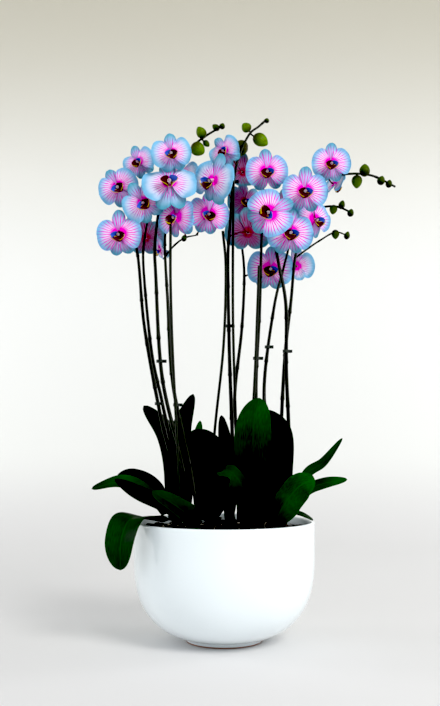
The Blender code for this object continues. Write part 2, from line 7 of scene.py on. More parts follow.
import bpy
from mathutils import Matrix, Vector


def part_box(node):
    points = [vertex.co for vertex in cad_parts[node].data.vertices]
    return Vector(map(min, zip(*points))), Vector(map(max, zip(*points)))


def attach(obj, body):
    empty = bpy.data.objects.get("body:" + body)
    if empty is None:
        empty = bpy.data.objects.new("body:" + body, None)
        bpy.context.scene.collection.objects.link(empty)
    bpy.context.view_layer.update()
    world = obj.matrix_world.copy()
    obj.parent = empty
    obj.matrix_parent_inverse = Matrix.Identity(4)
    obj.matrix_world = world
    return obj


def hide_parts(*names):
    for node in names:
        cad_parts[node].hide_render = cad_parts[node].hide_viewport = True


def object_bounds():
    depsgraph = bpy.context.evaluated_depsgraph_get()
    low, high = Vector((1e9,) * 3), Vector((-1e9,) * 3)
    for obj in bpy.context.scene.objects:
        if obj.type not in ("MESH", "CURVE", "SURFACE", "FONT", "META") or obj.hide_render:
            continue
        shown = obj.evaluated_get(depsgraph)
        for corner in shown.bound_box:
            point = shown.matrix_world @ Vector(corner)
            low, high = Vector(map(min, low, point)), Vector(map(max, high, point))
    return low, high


bl_info = {
    "name": "Potted orchid",
    "version": (1, 0, 0),
    "blender": (4, 5, 0),
    "location": "3D View > Sidebar > Orchid",
    "description": "Builds a bowl of moth orchids: bowl, bark, leaves, spikes, buds and flowers",
    "category": "Object",
}

import math

import bmesh
import bpy
import numpy as np
from bpy.props import FloatProperty, FloatVectorProperty, IntProperty, PointerProperty
from mathutils import Matrix, Vector

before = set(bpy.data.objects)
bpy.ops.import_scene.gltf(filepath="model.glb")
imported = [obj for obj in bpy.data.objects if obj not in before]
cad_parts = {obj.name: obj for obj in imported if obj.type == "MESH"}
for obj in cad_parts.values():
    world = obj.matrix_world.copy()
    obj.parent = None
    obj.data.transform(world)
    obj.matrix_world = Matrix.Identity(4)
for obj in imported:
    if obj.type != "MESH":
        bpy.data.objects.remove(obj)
CAD_BOX = [list(map(float, corner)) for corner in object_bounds()]

# The bowl's measures come from the frame, and the rest stands on them.
BOWL_LOW, BOWL_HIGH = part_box("bowl")
BOWL_RADIUS = (BOWL_HIGH[0] - BOWL_LOW[0]) / 2
BOWL_WALL = 0.0055
MEDIUM_TOP = BOWL_HIGH[2] - 0.0125  # the medium lies that far under the rim
TOP = MEDIUM_TOP + 0.700  # topmost bud
SIDE_FULLNESS = 2.8  # exponent of the bowl side's curve: 2 is an ellipse, more is boxier
STAKE_RADIUS = 0.0023
PEDICEL_GAP = 0.0032  # flower stalk's end to the middle of its flower
BUD_GROWTH = (1.12, 1.16)  # drawn length and width of a bud over those in the table
BUD_ROOM = 1.9  # most size of a bud, over its depth under the top of the frame's box
LIP_SHEET = 0.0007  # thickness of a lip's lobes
BED_SIDES, BED_RINGS = 120, 44  # facets of the bark bed
BED_SINK, BED_DEPTH = 0.003, 0.02  # its top and its underside, below the medium's level
CLIP_BAND = (0.0006, 0.0024)  # half the thickness and half the height of a clip's band
# Sepals and petals in shares of the flower's span: length, width, where it is widest,
# bluntness, set out, arch, bend back and ripple. A higher third number is nearer the tip.
UPPER_SEPAL = (0.53, 0.31, 1.40, 0.46, -0.012, 0.03, 0.06, 0.012)
LOWER_SEPAL = (0.46, 0.33, 1.30, 0.46, -0.014, 0.03, 0.14, 0.016)
RIGHT_PETAL = (0.48, 0.72, 1.16, 0.44, 0.012, 0.065, 0.03, 0.030)
LEFT_PETAL = (0.48, 0.72, 1.16, 0.44, 0.016, 0.065, 0.03, 0.030)
CAMERA_PLACE, CAMERA_TILT = (-0.0068, -1.52, 0.333), 95.33
LENS, SENSOR_WIDTH, CLIP_START, CLIP_END = 45.94, 36.0, 0.05, 60.0
ROOM_COLOUR, ROOM_STRENGTH = (0.94, 0.98, 1.0), 0.58
BLACK_LEVEL, WHITE_LEVEL = 0.028, 0.93

# Crown places, as shares of the bowl's radius.
CROWNS = {"a": (-0.56, 0.12), "b": (-0.33, -0.46), "c": (0.1, 0.24), "d": (0.4, -0.36),
          "e": (0.68, 0.26)}

# Spikes: (start, lower, head). Start is the place on the medium, in shares of the bowl's
# radius. Lower is (share of the way to the head, sway in x, sway in y). Head is (x, y, drop
# below the topmost bud), from the lowest point of the head up.
SPIKES = {
    "a1": ((-0.56, 0.12), [(0.21, 0.011, 0), (0.42, 0.002, -0.003), (0.74, -0.005, 0.002)],
        [(-0.146, -0.014, 0.245), (-0.16, -0.03, 0.185), (-0.166, -0.012, 0.13),
        (-0.152, 0.002, 0.09)]),
    "a2": ((-0.5, 0.26), [(0.25, 0.005, 0.002), (0.48, -0.001, 0.008), (0.68, -0.007, 0.01)],
        [(-0.138, 0.006, 0.262), (-0.136, 0, 0.207), (-0.125, -0.01, 0.16)]),
    "b1": ((-0.33, -0.46), [(0.21, -0.002, 0.004), (0.52, -0.018, 0.012),
        (0.88, -0.007, 0.014)], [(-0.115, -0.043, 0.225), (-0.105, -0.052, 0.157),
        (-0.092, -0.04, 0.11), (-0.07, -0.03, 0.078), (-0.041, -0.022, 0.044),
        (-0.003, -0.012, 0.016)]),
    "b2": ((-0.26, -0.56), [(0.22, -0.002, 0.008), (0.5, -0.014, -0.004),
        (0.8, -0.006, -0.008)], [(-0.1, -0.02, 0.225), (-0.095, -0.02, 0.18),
        (-0.078, -0.02, 0.157)]),
    "c1": ((0.1, 0.24), [(0.25, 0.001, -0.006), (0.57, -0.003, -0.007), (0.87, -0.004, -0.005)],
        [(0.01, -0.012, 0.19), (0.015, -0.017, 0.125), (0.025, -0.018, 0.073),
        (0.043, -0.014, 0.032), (0.06, -0.01, 0.016), (0.074, -0.006, 0.002)]),
    "c2": ((0.17, 0.36), [(0.28, -0.004, -0.006), (0.5, -0.012, 0), (0.78, -0.002, 0.004)],
        [(0.036, 0.054, 0.262), (0.031, 0.062, 0.199), (0.026, 0.07, 0.147)]),
    "d1": ((0.4, -0.36), [(0.25, -0.005, 0.006), (0.48, -0.009, 0.01), (0.75, -0.003, 0.01)],
        [(0.063, -0.036, 0.215), (0.067, -0.04, 0.16), (0.066, -0.018, 0.118)]),
    "d2": ((0.49, -0.24), [(0.29, -0.01, 0.002), (0.55, -0.021, 0.01), (0.85, -0.012, 0)],
        [(0.102, 0.016, 0.262), (0.112, 0.012, 0.222), (0.116, -0.006, 0.192)]),
    "e1": ((0.68, 0.26), [(0.29, 0.011, -0.004), (0.6, 0.009, -0.008), (0.84, 0.01, -0.012)],
        [(0.092, -0.022, 0.258), (0.087, -0.022, 0.22), (0.097, -0.02, 0.18),
        (0.122, -0.015, 0.139), (0.158, -0.008, 0.112), (0.205, -0.005, 0.099),
        (0.253, 0, 0.099), (0.297, 0.008, 0.117)]),
    "e2": ((0.6, 0.38), [(0.31, -0.003, -0.004), (0.62, -0.006, -0.008),
        (0.84, -0.002, -0.004)], [(0.123, 0.018, 0.242), (0.136, 0.028, 0.198),
        (0.151, 0.034, 0.165), (0.174, 0.034, 0.147), (0.2, 0.03, 0.147),
        (0.222, 0.028, 0.157)]),
}

# Side twigs: (spike, [(x, y, drop), ...]).
TWIGS = [
    ("b2", [(-0.102, -0.022, 0.25), (-0.086, -0.026, 0.23), (-0.067, -0.03, 0.216),
        (-0.046, -0.03, 0.211)]),
    ("e2", [(0.124, 0.019, 0.24), (0.143, 0.022, 0.225), (0.167, 0.026, 0.208),
        (0.194, 0.022, 0.194), (0.216, 0.02, 0.201)]),
]

# Buds: (spike, x, y, drop, length, width, freshness from 0 to 1).
BUDS = [
    ("b1", -0.039, -0.026, 0.032, 0.02, 0.015, 0.34),
    ("b1", -0.044, -0.028, 0.062, 0.024, 0.021, 0.4),
    ("b1", -0.03, -0.024, 0.051, 0.013, 0.009, 0.1),
    ("b1", -0.014, -0.014, 0.019, 0.013, 0.01, 0.06),
    ("b1", -0.003, -0.012, 0.016, 0.01, 0.009, 0.03),
    ("c1", 0.038, -0.02, 0.021, 0.016, 0.015, 0.42),
    ("c1", 0.063, -0.015, 0.042, 0.026, 0.02, 0.5),
    ("c1", 0.074, -0.006, 0.004, 0.01, 0.01, 0.03),
    ("c1", 0.028, 0.004, 0.05, 0.036, 0.023, 0.5), ("e1", 0.243, 0, 0.09, 0.021, 0.016, 0.2),
    ("e1", 0.229, -0.002, 0.111, 0.021, 0.016, 0.2),
    ("e1", 0.272, 0.004, 0.107, 0.015, 0.012, 0.08),
    ("e1", 0.286, 0.007, 0.112, 0.013, 0.01, 0.04),
    ("e2", 0.192, 0.03, 0.152, 0.016, 0.012, 0.08),
    ("e2", 0.207, 0.03, 0.143, 0.015, 0.01, 0.06),
    ("e2", 0.222, 0.028, 0.158, 0.013, 0.01, 0.03),
    ("e2", 0.194, 0.022, 0.198, 0.015, 0.012, 0.08),
    ("e2", 0.214, 0.02, 0.2, 0.013, 0.009, 0.04),
    ("b2", -0.067, -0.03, 0.216, 0.011, 0.008, 0.1),
]

# Flowers: (spike, x, y, drop, span, yaw, pitch, roll, richness, blue lobe). Yaw 0 faces the
# front, pitch lifts the face and roll turns it anticlockwise, in degrees. Richness is how far
# the colour reaches out, from 0 to 1. The side lobe with the blue face is -1, left, or 1.
FLOWERS = {
    "flower_01": ("a1", -0.146, -0.022, 0.082, 0.057, -20, 0, 25, 0.55, 1),
    "flower_02": ("b1", -0.086, -0.096, 0.09, 0.064, 0, 0, 8, 0.45, -1),
    "flower_03": ("b1", -0.089, -0.09, 0.139, 0.088, 0, 26, 6, 0.25, 1),
    "flower_04": ("a1", -0.178, -0.04, 0.131, 0.068, -10, 0, 30, 0.7, -1),
    "flower_05": ("a2", -0.132, -0.08, 0.168, 0.07, -8, -8, 35, 0.45, -1),
    "flower_06": ("a1", -0.172, -0.07, 0.218, 0.073, -5, 0, 3, 0.85, -1),
    "flower_07": ("a2", -0.138, 0.042, 0.2, 0.07, 180, 5, 0, 0.5, 1),
    "flower_08": ("b2", -0.079, -0.074, 0.191, 0.07, -35, 0, 0, 0.95, 1),
    "flower_09": ("b2", -0.026, -0.052, 0.18, 0.068, 10, 0, -10, 1, -1),
    "flower_10": ("c1", -0.018, -0.092, 0.135, 0.08, -38, 0, -22, 0.3, -1),
    "flower_11": ("c1", 0, -0.052, 0.073, 0.056, -30, 0, 35, 0.5, 1),
    "flower_12": ("b1", -0.074, 0.004, 0.092, 0.06, 168, 0, 10, 0, 1),
    "flower_13": ("b2", -0.11, 0.008, 0.226, 0.048, -75, -20, 0, 0.5, 1),
    "flower_14": ("a2", -0.112, 0.03, 0.14, 0.056, 170, 0, 0, 0.5, 1),
    "flower_15": ("c1", 0.041, 0.002, 0.2, 0.078, 180, 0, 0, 0.5, 1),
    "flower_16": ("c2", 0.037, 0.042, 0.133, 0.062, 15, 0, 0, 0.5, 1),
    "flower_17": ("c1", 0.033, 0.022, 0.088, 0.064, 185, 0, 0, 0.5, 1),
    "flower_18": ("d1", 0.072, -0.044, 0.105, 0.07, 0, 0, 5, 0.85, 1),
    "flower_19": ("d1", 0.073, -0.09, 0.188, 0.078, 0, 0, -60, 0.85, 1),
    "flower_20": ("e1", 0.134, -0.06, 0.143, 0.074, 0, 0, 0, 0.8, 1),
    "flower_21": ("e1", 0.181, -0.036, 0.089, 0.065, 0, 0, 0, 0.75, 1),
    "flower_22": ("e1", 0.193, 0.018, 0.11, 0.054, 120, -20, 0, 0, 1),
    "flower_23": ("d2", 0.109, -0.052, 0.211, 0.078, 8, 0, 0, 0.8, 1),
    "flower_24": ("e2", 0.155, 0, 0.177, 0.072, 35, 0, 10, 0.8, 1),
    "flower_25": ("d1", 0.102, 0.018, 0.149, 0.056, 180, 0, 10, 0.5, 1),
    "flower_26": ("c2", 0.082, 0.048, 0.253, 0.08, 0, 0, 0, 0.7, 1),
    "flower_27": ("e2", 0.13, 0.066, 0.246, 0.064, 170, 0, 0, 0.3, 1),
}
# The finish of the front and the back of a turned flower: 0 is a front, 1 a back. flower_16
# faces the front but wears the darker back finish on both sides: painted shade.
TURNED_AND_SHADED_FLOWERS = {"flower_12": (0, 0), "flower_16": (1, 1), "flower_22": (0, 0),
                  "flower_27": (0, 0)}

# Leaves: (width, side, tilt, taper, light, [(x, y, rise), ...]). x and y are shares of the
# bowl's radius and rise is metres over the medium. Side is the blade's breadth direction in
# degrees from +X, tilt lifts it, and a higher taper keeps the blade broad nearer its tip.
# Light is painted light and shade: it brightens or darkens the whole blade's green for how
# light falls on it. The first point is the base, beside the crown.
LEAVES = {
    "leaf_01": (0.064, -30, 0, 5, 0.55, [(-0.68, -0.08, 0.012), (-0.86, -0.32, 0.02),
        (-1, -0.53, 0.019), (-1.07, -0.64, -0.012), (-1.07, -0.68, -0.054)]),
    "leaf_02": (0.032, 80, 38, 4, 0.8, [(-0.68, 0.14, 0.024), (-0.88, 0.04, 0.06),
        (-1.14, -0.1, 0.076), (-1.45, -0.18, 0.066)]),
    "leaf_03": (0.046, 95, 55, 4, 0.1, [(-0.66, 0.28, 0.02), (-0.84, 0.34, 0.058),
        (-1.06, 0.42, 0.077), (-1.26, 0.48, 0.08)]),
    "leaf_04": (0.046, 10, 0, 3, 0.1, [(-0.56, 0.42, 0.006), (-0.56, 0.56, 0.09),
        (-0.68, 0.63, 0.155), (-0.96, 0.67, 0.207)]),
    "leaf_05": (0.046, -10, 0, 2, 0.25, [(-0.44, -0.36, 0.02), (-0.48, -0.24, 0.09),
        (-0.47, -0.2, 0.16), (-0.34, -0.18, 0.222)]),
    "leaf_06": (0.024, 10, 0, 3, 1.7, [(-0.1, 0.4, 0.006), (-0.22, 0.48, 0.096),
        (-0.31, 0.52, 0.138), (-0.28, 0.54, 0.18)]),
    "leaf_07": (0.066, 10, 0, 4, 0.1, [(-0.2, -0.3, 0.016), (-0.1, -0.34, 0.078),
        (-0.18, -0.36, 0.128), (-0.38, -0.4, 0.158)]),
    "leaf_08": (0.03, 5, 0, 3, 0.1, [(0.06, 0.46, 0.006), (0.07, 0.54, 0.078),
        (0.02, 0.6, 0.138), (-0.03, 0.64, 0.19)]),
    "leaf_09": (0.062, 0, 0, 5, 0.46, [(0.4, -0.5, 0.016), (0.32, -0.56, 0.096),
        (0.31, -0.54, 0.164), (0.38, -0.44, 0.214)]),
    "leaf_10": (0.05, 0, 0, 5, 0.1, [(0.6, 0.06, 0.012), (0.6, -0.01, 0.085),
        (0.61, -0.03, 0.156), (0.45, 0.04, 0.196)]),
    "leaf_11": (0.048, 60, 20, 4, 0.4, [(0.28, -0.5, 0.01), (0.22, -0.74, 0.06),
        (0.08, -0.86, 0.096), (-0.08, -0.9, 0.096)]),
    "leaf_12": (0.02, 100, 60, 3, 0.7, [(0.8, 0.32, 0.02), (0.95, 0.36, 0.084),
        (1.16, 0.38, 0.108), (1.38, 0.4, 0.149)]),
    "leaf_13": (0.022, 90, 60, 4, 0.9, [(0.8, 0.18, 0.022), (0.94, 0.06, 0.06),
        (1.12, -0.04, 0.074), (1.36, -0.1, 0.081)]),
    "leaf_14": (0.048, 140, 10, 4, 0.85, [(0.52, -0.46, 0.014), (0.66, -0.64, 0.053),
        (0.78, -0.78, 0.076), (0.92, -0.86, 0.087)]),
    "leaf_15": (0.036, 80, 0, 4, 0.4, [(0.54, -0.38, 0.02), (0.66, -0.36, 0.03),
        (0.8, -0.4, 0.027), (0.94, -0.46, 0.019)]),
    "leaf_16": (0.04, 60, 30, 3, 0.35, [(-0.27, -0.62, 0.012), (-0.4, -0.8, 0.034),
        (-0.56, -0.86, 0.052), (-0.74, -0.84, 0.068)]),
    "leaf_17": (0.036, 90, 45, 3, 0.1, [(-0.52, -0.42, 0.03), (-0.7, -0.46, 0.046),
        (-0.92, -0.52, 0.062), (-1.16, -0.52, 0.084)]),
}
SHADED_FEET = {"leaf_05", "leaf_07", "leaf_09", "leaf_11"}

# Stakes: as for spikes.
STAKES = {
    "stake_1": ((-0.46, -0.58), [(0.3, 0.001, 0), (0.7, -0.001, 0)], [(-0.087, -0.076, 0.3),
        (-0.087, -0.084, 0.206)]),
    "stake_2": ((0.2, 0.04), [(0.3, -0.004, 0), (0.7, -0.004, -0.002)], [(0.015, -0.018, 0.24),
        (0.016, -0.03, 0.123)]),
    "stake_3": ((-0.16, 0.1), [(0.35, -0.002, -0.004), (0.7, 0.004, -0.004)],
        [(0.003, -0.024, 0.27), (-0.002, -0.026, 0.203)]),
    "stake_4": ((0.22, -0.2), [(0.35, 0.002, -0.006), (0.7, 0.002, -0.006)],
        [(0.055, -0.046, 0.34), (0.058, -0.046, 0.266)]),
}

# Clips: (spike, height, half width, turn in degrees).
CLIPS = [("b1", 0.461, 0.006, 10), ("a1", 0.387, 0.005, 0), ("b2", 0.387, 0.005, 20), ("c1",
         0.518, 0.0055, -15), ("d1", 0.463, 0.006, 5), ("d2", 0.486, 0.005, 0), ("e1", 0.476,
         0.0055, 15), ("c1", 0.7655, 0.005, 0)]


# ---------------------------------------------------------------------------- shapes


def unit(rows):
    """Each vector made one long."""
    return rows / np.maximum(np.linalg.norm(rows, axis=-1, keepdims=True), 1e-12)


def ease(low, high, values):
    """0 below `low`, 1 above `high`, and a smooth S between them."""
    share = np.clip((values - low) / (high - low), 0.0, 1.0)
    return share * share * (3.0 - 2.0 * share)


def curve_through(points, pieces):
    """Points along a smooth curve through the given ones, with `pieces` steps to a span."""
    given = np.array(points, float)
    ends = np.vstack([2 * given[0] - given[1], given, 2 * given[-1] - given[-2]])
    share = np.arange(pieces)[:, None] / pieces
    spans = [0.5 * (2 * b + (c - a) * share + (2 * a - 5 * b + 4 * c - d) * share**2
                    + (3 * b - a - 3 * c + d) * share**3)
             for a, b, c, d in zip(ends[:-3], ends[1:-2], ends[2:-1], ends[3:])]
    return np.vstack([*spans, given[-1:]])


def lengths_along(way):
    """The distance from the start of a way to each of its points."""
    steps = np.linalg.norm(np.diff(way, axis=0), axis=1)
    return np.concatenate([[0.0], np.cumsum(steps)])


def turned(x, y, angle):
    """Both coordinates turned by an angle."""
    cos, sin = np.cos(angle), np.sin(angle)
    return x * cos - y * sin, x * sin + y * cos


def circle(sides):
    """Angles evenly round a circle."""
    return np.arange(sides) * math.tau / sides


def grid_quads(rows, columns, wrap=False):
    """The quads of a grid of points, row by row; `wrap` joins the last column to the first."""
    row, column = np.meshgrid(np.arange(rows - 1), np.arange(columns - (not wrap)), indexing="ij")
    after = (column + 1) % columns
    return np.stack([row * columns + column, row * columns + after,
                     (row + 1) * columns + after, (row + 1) * columns + column],
                    axis=-1).reshape(-1, 4)


def tube_faces(rows, columns):
    """The quads between rings, and the fans from the first and last ring to two poles, whose
    numbers come after the rings'."""
    ring, pole = np.arange(columns), np.full(columns, rows * columns)
    after, last = (ring + 1) % columns, (rows - 1) * columns
    return grid_quads(rows, columns, True), np.vstack([
        np.column_stack([after, ring, pole]),
        np.column_stack([ring + last, after + last, pole + 1])])


class Shape:
    """Grids gathered into one mesh. Each point has a place on its surface and a margin."""

    def __init__(self):
        self.points, self.surface, self.margin = [], [], []
        self.faces, self.slots = {4: [], 3: []}, {4: [], 3: []}
        self.count = 0

    def add(self, points, quads, triangles, slots, surface, margin):
        """Points with their faces; `slots` is one finish, or one for each quad."""
        for faces in (quads, triangles):
            if len(faces):
                sides = len(faces[0])
                self.faces[sides] += (np.asarray(faces) + self.count).tolist()
                self.slots[sides].append(np.broadcast_to(slots, len(faces)))
        self.points.append(points)
        self.surface.append(surface)
        self.margin.append(margin)
        self.count += len(points)

    def tube(self, rings, poles, slot=0, along=0.0, tone=0.0, order=1):
        """Rings joined one to the next, with a fan from each end ring to its pole. The
        surface coordinates are turns round and the given distance along."""
        rows, columns = rings.shape[:2]
        along = np.broadcast_to(along, rows)
        quads, fans = tube_faces(rows, columns)
        surface = np.vstack([np.column_stack([np.tile(np.arange(columns) / columns, rows),
                                              np.repeat(along, columns)]),
                             [[0.0, 0.0], [0.0, along[-1]]]])
        self.add(np.vstack([rings.reshape(-1, 3), poles]), quads[:, ::order], fans[:, ::order],
                 slot, surface, np.full(surface.shape, tone))

    def rod(self, way, radii, sides=8, slot=0, tone=0.5):
        """A round rod: at each point of the way, a ring in the plane across it."""
        tangent = unit(np.gradient(way, axis=0))
        side = unit(np.cross(tangent, np.eye(3)[np.abs(tangent).max(axis=0).argmin()]))
        turn = circle(sides)[None, :, None]
        rings = (way[:, None] + np.broadcast_to(radii, len(way))[:, None, None]
                 * (side[:, None] * np.cos(turn)
                    + np.cross(side, tangent)[:, None] * np.sin(turn)))
        self.tube(rings, [way[0], way[-1]], slot, lengths_along(way), tone, -1)

    def sheet(self, grid, thickness, slots, surface, margin):
        """A sheet of a given thickness: the grid is its front, the back is that far behind
        it along the surface's normal, and a rim joins their edges."""
        rows, columns = grid.shape[:2]
        normal = unit(np.cross(np.gradient(grid, axis=1), np.gradient(grid, axis=0)))
        back = grid - normal * np.broadcast_to(thickness, grid.shape[:2])[..., None]
        size = rows * columns
        front = grid_quads(rows, columns)
        index = np.arange(size).reshape(rows, columns)
        edge = np.concatenate([index[0, :], index[1:, -1], index[-1, -2::-1], index[-2:0:-1, 0]])
        after = np.roll(edge, -1)
        rim = np.column_stack([edge, edge + size, after + size, after])
        kinds = np.repeat([slots[0], slots[1], slots[0]], [len(front), len(front), len(rim)])
        self.add(np.vstack([grid.reshape(-1, 3), back.reshape(-1, 3)]),
                 np.vstack([front, front[:, ::-1] + size, rim]), [], kinds,
                 np.tile(surface.reshape(-1, 2), (2, 1)), np.tile(margin.reshape(-1, 2), (2, 1)))

    def finish(self, name, materials, slot, replaces=(), sharp=50.0):
        """The gathered grids as one object at the origin, riding on the frame."""
        mesh = bpy.data.meshes.new(name)
        mesh.from_pydata(np.vstack(self.points).tolist(), [], self.faces[4] + self.faces[3])
        mesh.polygons.foreach_set(
            "material_index", np.concatenate(self.slots[4] + self.slots[3]).astype(np.int32))
        corners = np.empty(len(mesh.loops), np.int32)
        mesh.loops.foreach_get("vertex_index", corners)
        for label, values in (("surface", self.surface), ("margin", self.margin)):
            layer = mesh.uv_layers.new(name=label)
            layer.data.foreach_set("uv", np.vstack(values)[corners].astype(np.float32).ravel())
        work = bmesh.new()
        work.from_mesh(mesh)
        bmesh.ops.recalc_face_normals(work, faces=work.faces)
        work.to_mesh(mesh)
        work.free()
        for material in materials:
            mesh.materials.append(material)
        mesh.shade_smooth()
        mesh.set_sharp_from_angle(angle=math.radians(sharp))
        piece = bpy.data.objects.new(name, mesh)
        bpy.context.scene.collection.objects.link(piece)
        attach(piece, "root")
        if replaces:
            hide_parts(*replaces)


# ---------------------------------------------------------------------------- finishes


class Wire:
    """A value in a shader. Arithmetic on it adds Math nodes and gives the result's wire."""

    def __init__(self, paint, socket):
        self.paint, self.socket = paint, socket

    def __add__(self, other):
        return self.paint.math("ADD", self, other)

    def __sub__(self, other):
        return self.paint.math("SUBTRACT", self, other)

    def __mul__(self, other):
        return self.paint.math("MULTIPLY", self, other)

    def __truediv__(self, other):
        return self.paint.math("DIVIDE", self, other)

    def __abs__(self):
        return self.paint.math("ABSOLUTE", self)


class Paint:
    """Lays out shader nodes: each call adds one and gives the wire from it."""

    def __init__(self, tree):
        self.tree = tree

    def feed(self, socket, value):
        """Links a wire to a socket, or sets the socket's own value."""
        if isinstance(value, Wire):
            self.tree.links.new(value.socket, socket)
        else:
            colour = socket.type == "RGBA"
            socket.default_value = (*tuple(value)[:3], 1.0) if colour else value

    def node(self, kind, inputs=(), output=0, **settings):
        """A node with its settings, its first inputs fed in order, and one output."""
        made = self.tree.nodes.new("ShaderNode" + kind)
        for label, value in settings.items():
            setattr(made, label, value)
        if isinstance(inputs, dict):
            for label, value in inputs.items():
                self.feed(made.inputs[label], value)
        else:
            for socket, value in zip(made.inputs, inputs):
                self.feed(socket, value)
        return Wire(self, made.outputs[output])

    def math(self, operation, *values):
        return self.node("Math", values, operation=operation)

    def ribs(self, value):
        """The sine of a value without its sign: 0 along each rib's valley."""
        return abs(self.math("SINE", value))

    def ease(self, value, low, high):
        """0 where the value is `low`, 1 where it is `high`, smooth between; low may be higher."""
        ends = (high, low, 1.0, 0.0) if low > high else (low, high, 0.0, 1.0)
        return self.node("MapRange", (value, *ends), interpolation_type="SMOOTHSTEP")

    def mix(self, share, a, b, blend="MIX"):
        return self.node("Mix", {0: share, 6: a, 7: b}, 2, data_type="RGBA", blend_type=blend)

    def dim(self, colour, share):
        """A colour multiplied by a number."""
        return self.mix(1.0, colour, self.join(share, share, share), "MULTIPLY")

    def split(self, vector):
        made = self.node("SeparateXYZ", [vector]).socket.node
        return [Wire(self, socket) for socket in made.outputs]

    def join(self, *parts):
        return self.node("CombineXYZ", parts)

    def noise(self, vector, scale, detail=3.0, roughness=0.5):
        return self.node("TexNoise", {"Vector": vector, "Scale": scale, "Detail": detail,
                                      "Roughness": roughness})

    def layer(self, label):
        return self.node("UVMap", uv_map=label)

    def layers(self):
        """The surface coordinates whole and in two parts, and the two parts of the margin."""
        surface = self.layer("surface")
        return surface, *self.split(surface)[:2], *self.split(self.layer("margin"))[:2]

    def place(self):
        return self.node("TexCoord", output="Object")

    def bump(self, height, distance, strength):
        return self.node("Bump", {"Strength": strength, "Distance": distance, "Height": height})

    def group(self, tree, **values):
        """A placed node group, fed by name; gives its outputs by name."""
        made = self.tree.nodes.new("ShaderNodeGroup")
        made.node_tree = tree
        for label, value in values.items():
            self.feed(made.inputs[label.capitalize()], value)
        return {socket.name: Wire(self, socket) for socket in made.outputs}

    def streaks(self, surface, count, length):
        """Long soft streaks on the surface coordinates."""
        tree = finish(group_streak, "lengthwise_streaks")
        return self.group(tree, surface=surface, count=count, length=length)["Streak"]


def new_group(name, takes, gives):
    """An empty node group with its named sockets; gives its paint, its inputs and outputs."""
    tree = bpy.data.node_groups.new(name, "ShaderNodeTree")
    kinds = {"colour": "NodeSocketColor", "value": "NodeSocketFloat", "vector": "NodeSocketVector"}
    for way, sockets in (("INPUT", takes), ("OUTPUT", gives)):
        for kind, labels in sockets.items():
            for label in labels.split():
                tree.interface.new_socket(label, in_out=way, socket_type=kinds[kind])
    paint = Paint(tree)
    taken = tree.nodes.new("NodeGroupInput").outputs
    given = tree.nodes.new("NodeGroupOutput").inputs
    return tree, paint, {socket.name: Wire(paint, socket) for socket in taken}, given


class Finish(Paint):
    """A material with one Principled shader; `fixed` sets its sockets that never vary."""

    def __init__(self, name, roughness, **fixed):
        self.material = bpy.data.materials.new(name)
        self.material.use_nodes = True
        super().__init__(self.material.node_tree)
        self.show(Roughness=roughness, **fixed)

    def show(self, **sockets):
        """Feeds the shader's sockets and gives the material."""
        shader = self.tree.nodes["Principled BSDF"]
        for label, value in sockets.items():
            self.feed(shader.inputs[label.replace("_", " ")], value)
        return self.material


FINISHES = {}


def finish(make, name, *args):
    """A finish or group that is made once and used by every piece that asks for it."""
    if name not in FINISHES:
        FINISHES[name] = make(name, *args)
    return FINISHES[name]


def group_petal(name):
    """Veins that fan from a petal's claw, a glow at its heart and a cool margin.

    Veins are where the sine of the fan angle is near nought, bent by slow noise; the finer
    set runs between them further out. Their strength falls with distance from the heart.
    """
    tree, paint, taken, given = new_group(
        name, {"vector": "Surface Margin", "colour": "Body Edge Vein Heart",
               "value": "Reach Glow"}, {"colour": "Colour", "value": "Height"})
    fan, reach, _ = paint.split(taken["Surface"])
    inside, tone, _ = paint.split(taken["Margin"])
    wander = paint.noise(paint.join(fan, reach * 0.6, tone), 4.0, 2.0)
    bent = fan + (wander - 0.5) * 0.13
    main, fine = paint.ribs(bent * 19.0), paint.ribs(bent * 38.0)
    coarse = paint.ease(main - (reach * -0.20 + 0.76), 0.0, -0.18)
    between = paint.ease(fine, 0.50, 0.08) * (paint.ease(reach, 0.34, 0.60) * 0.7)
    lines = paint.math("MAXIMUM", coarse, between)
    patchy = paint.ease(paint.noise(paint.join(fan, reach, tone), 7.0, 3.0), 0.25, 0.62)
    scaled = reach / taken["Reach"] / (tone * 0.55 + 0.55)
    vein = lines * paint.ease(scaled, 1.16, 0.62) * (patchy * 0.20 + 0.80)
    heart = paint.ease((scaled - lines * 0.36) / taken["Glow"], 0.70, 0.36)
    cloud = paint.noise(paint.join(fan, reach, tone), 3.0, 3.0)
    rim = paint.ease((cloud - 0.5) * 1.1 + inside, -0.15, 0.60) * paint.ease(reach, 1.02, 0.50)
    blush = paint.ease(scaled, 0.50, 0.15) * 0.16
    ground = paint.mix(rim, taken["Edge"], taken["Body"])
    ground = paint.mix(blush * rim, ground, taken["Heart"])
    ink = paint.mix(paint.ease(scaled, 0.50, 0.95), taken["Heart"], taken["Vein"])
    ground = paint.mix(vein, ground, ink)
    paint.feed(given["Colour"], paint.mix(heart, ground, taken["Heart"]))
    paint.feed(given["Height"], main * 0.5 + fine * 0.2)
    return tree


def group_streak(name):
    """Long soft streaks along a rod or blade: noise stretched along the second coordinate."""
    tree, paint, taken, given = new_group(name, {"vector": "Surface", "value": "Count Length"},
                                          {"value": "Streak"})
    over, along, _ = paint.split(taken["Surface"])
    vector = paint.join(over * taken["Count"], along * taken["Length"], 0.0)
    paint.feed(given["Streak"], paint.noise(vector, 1.0, 4.0, 0.6))
    return tree


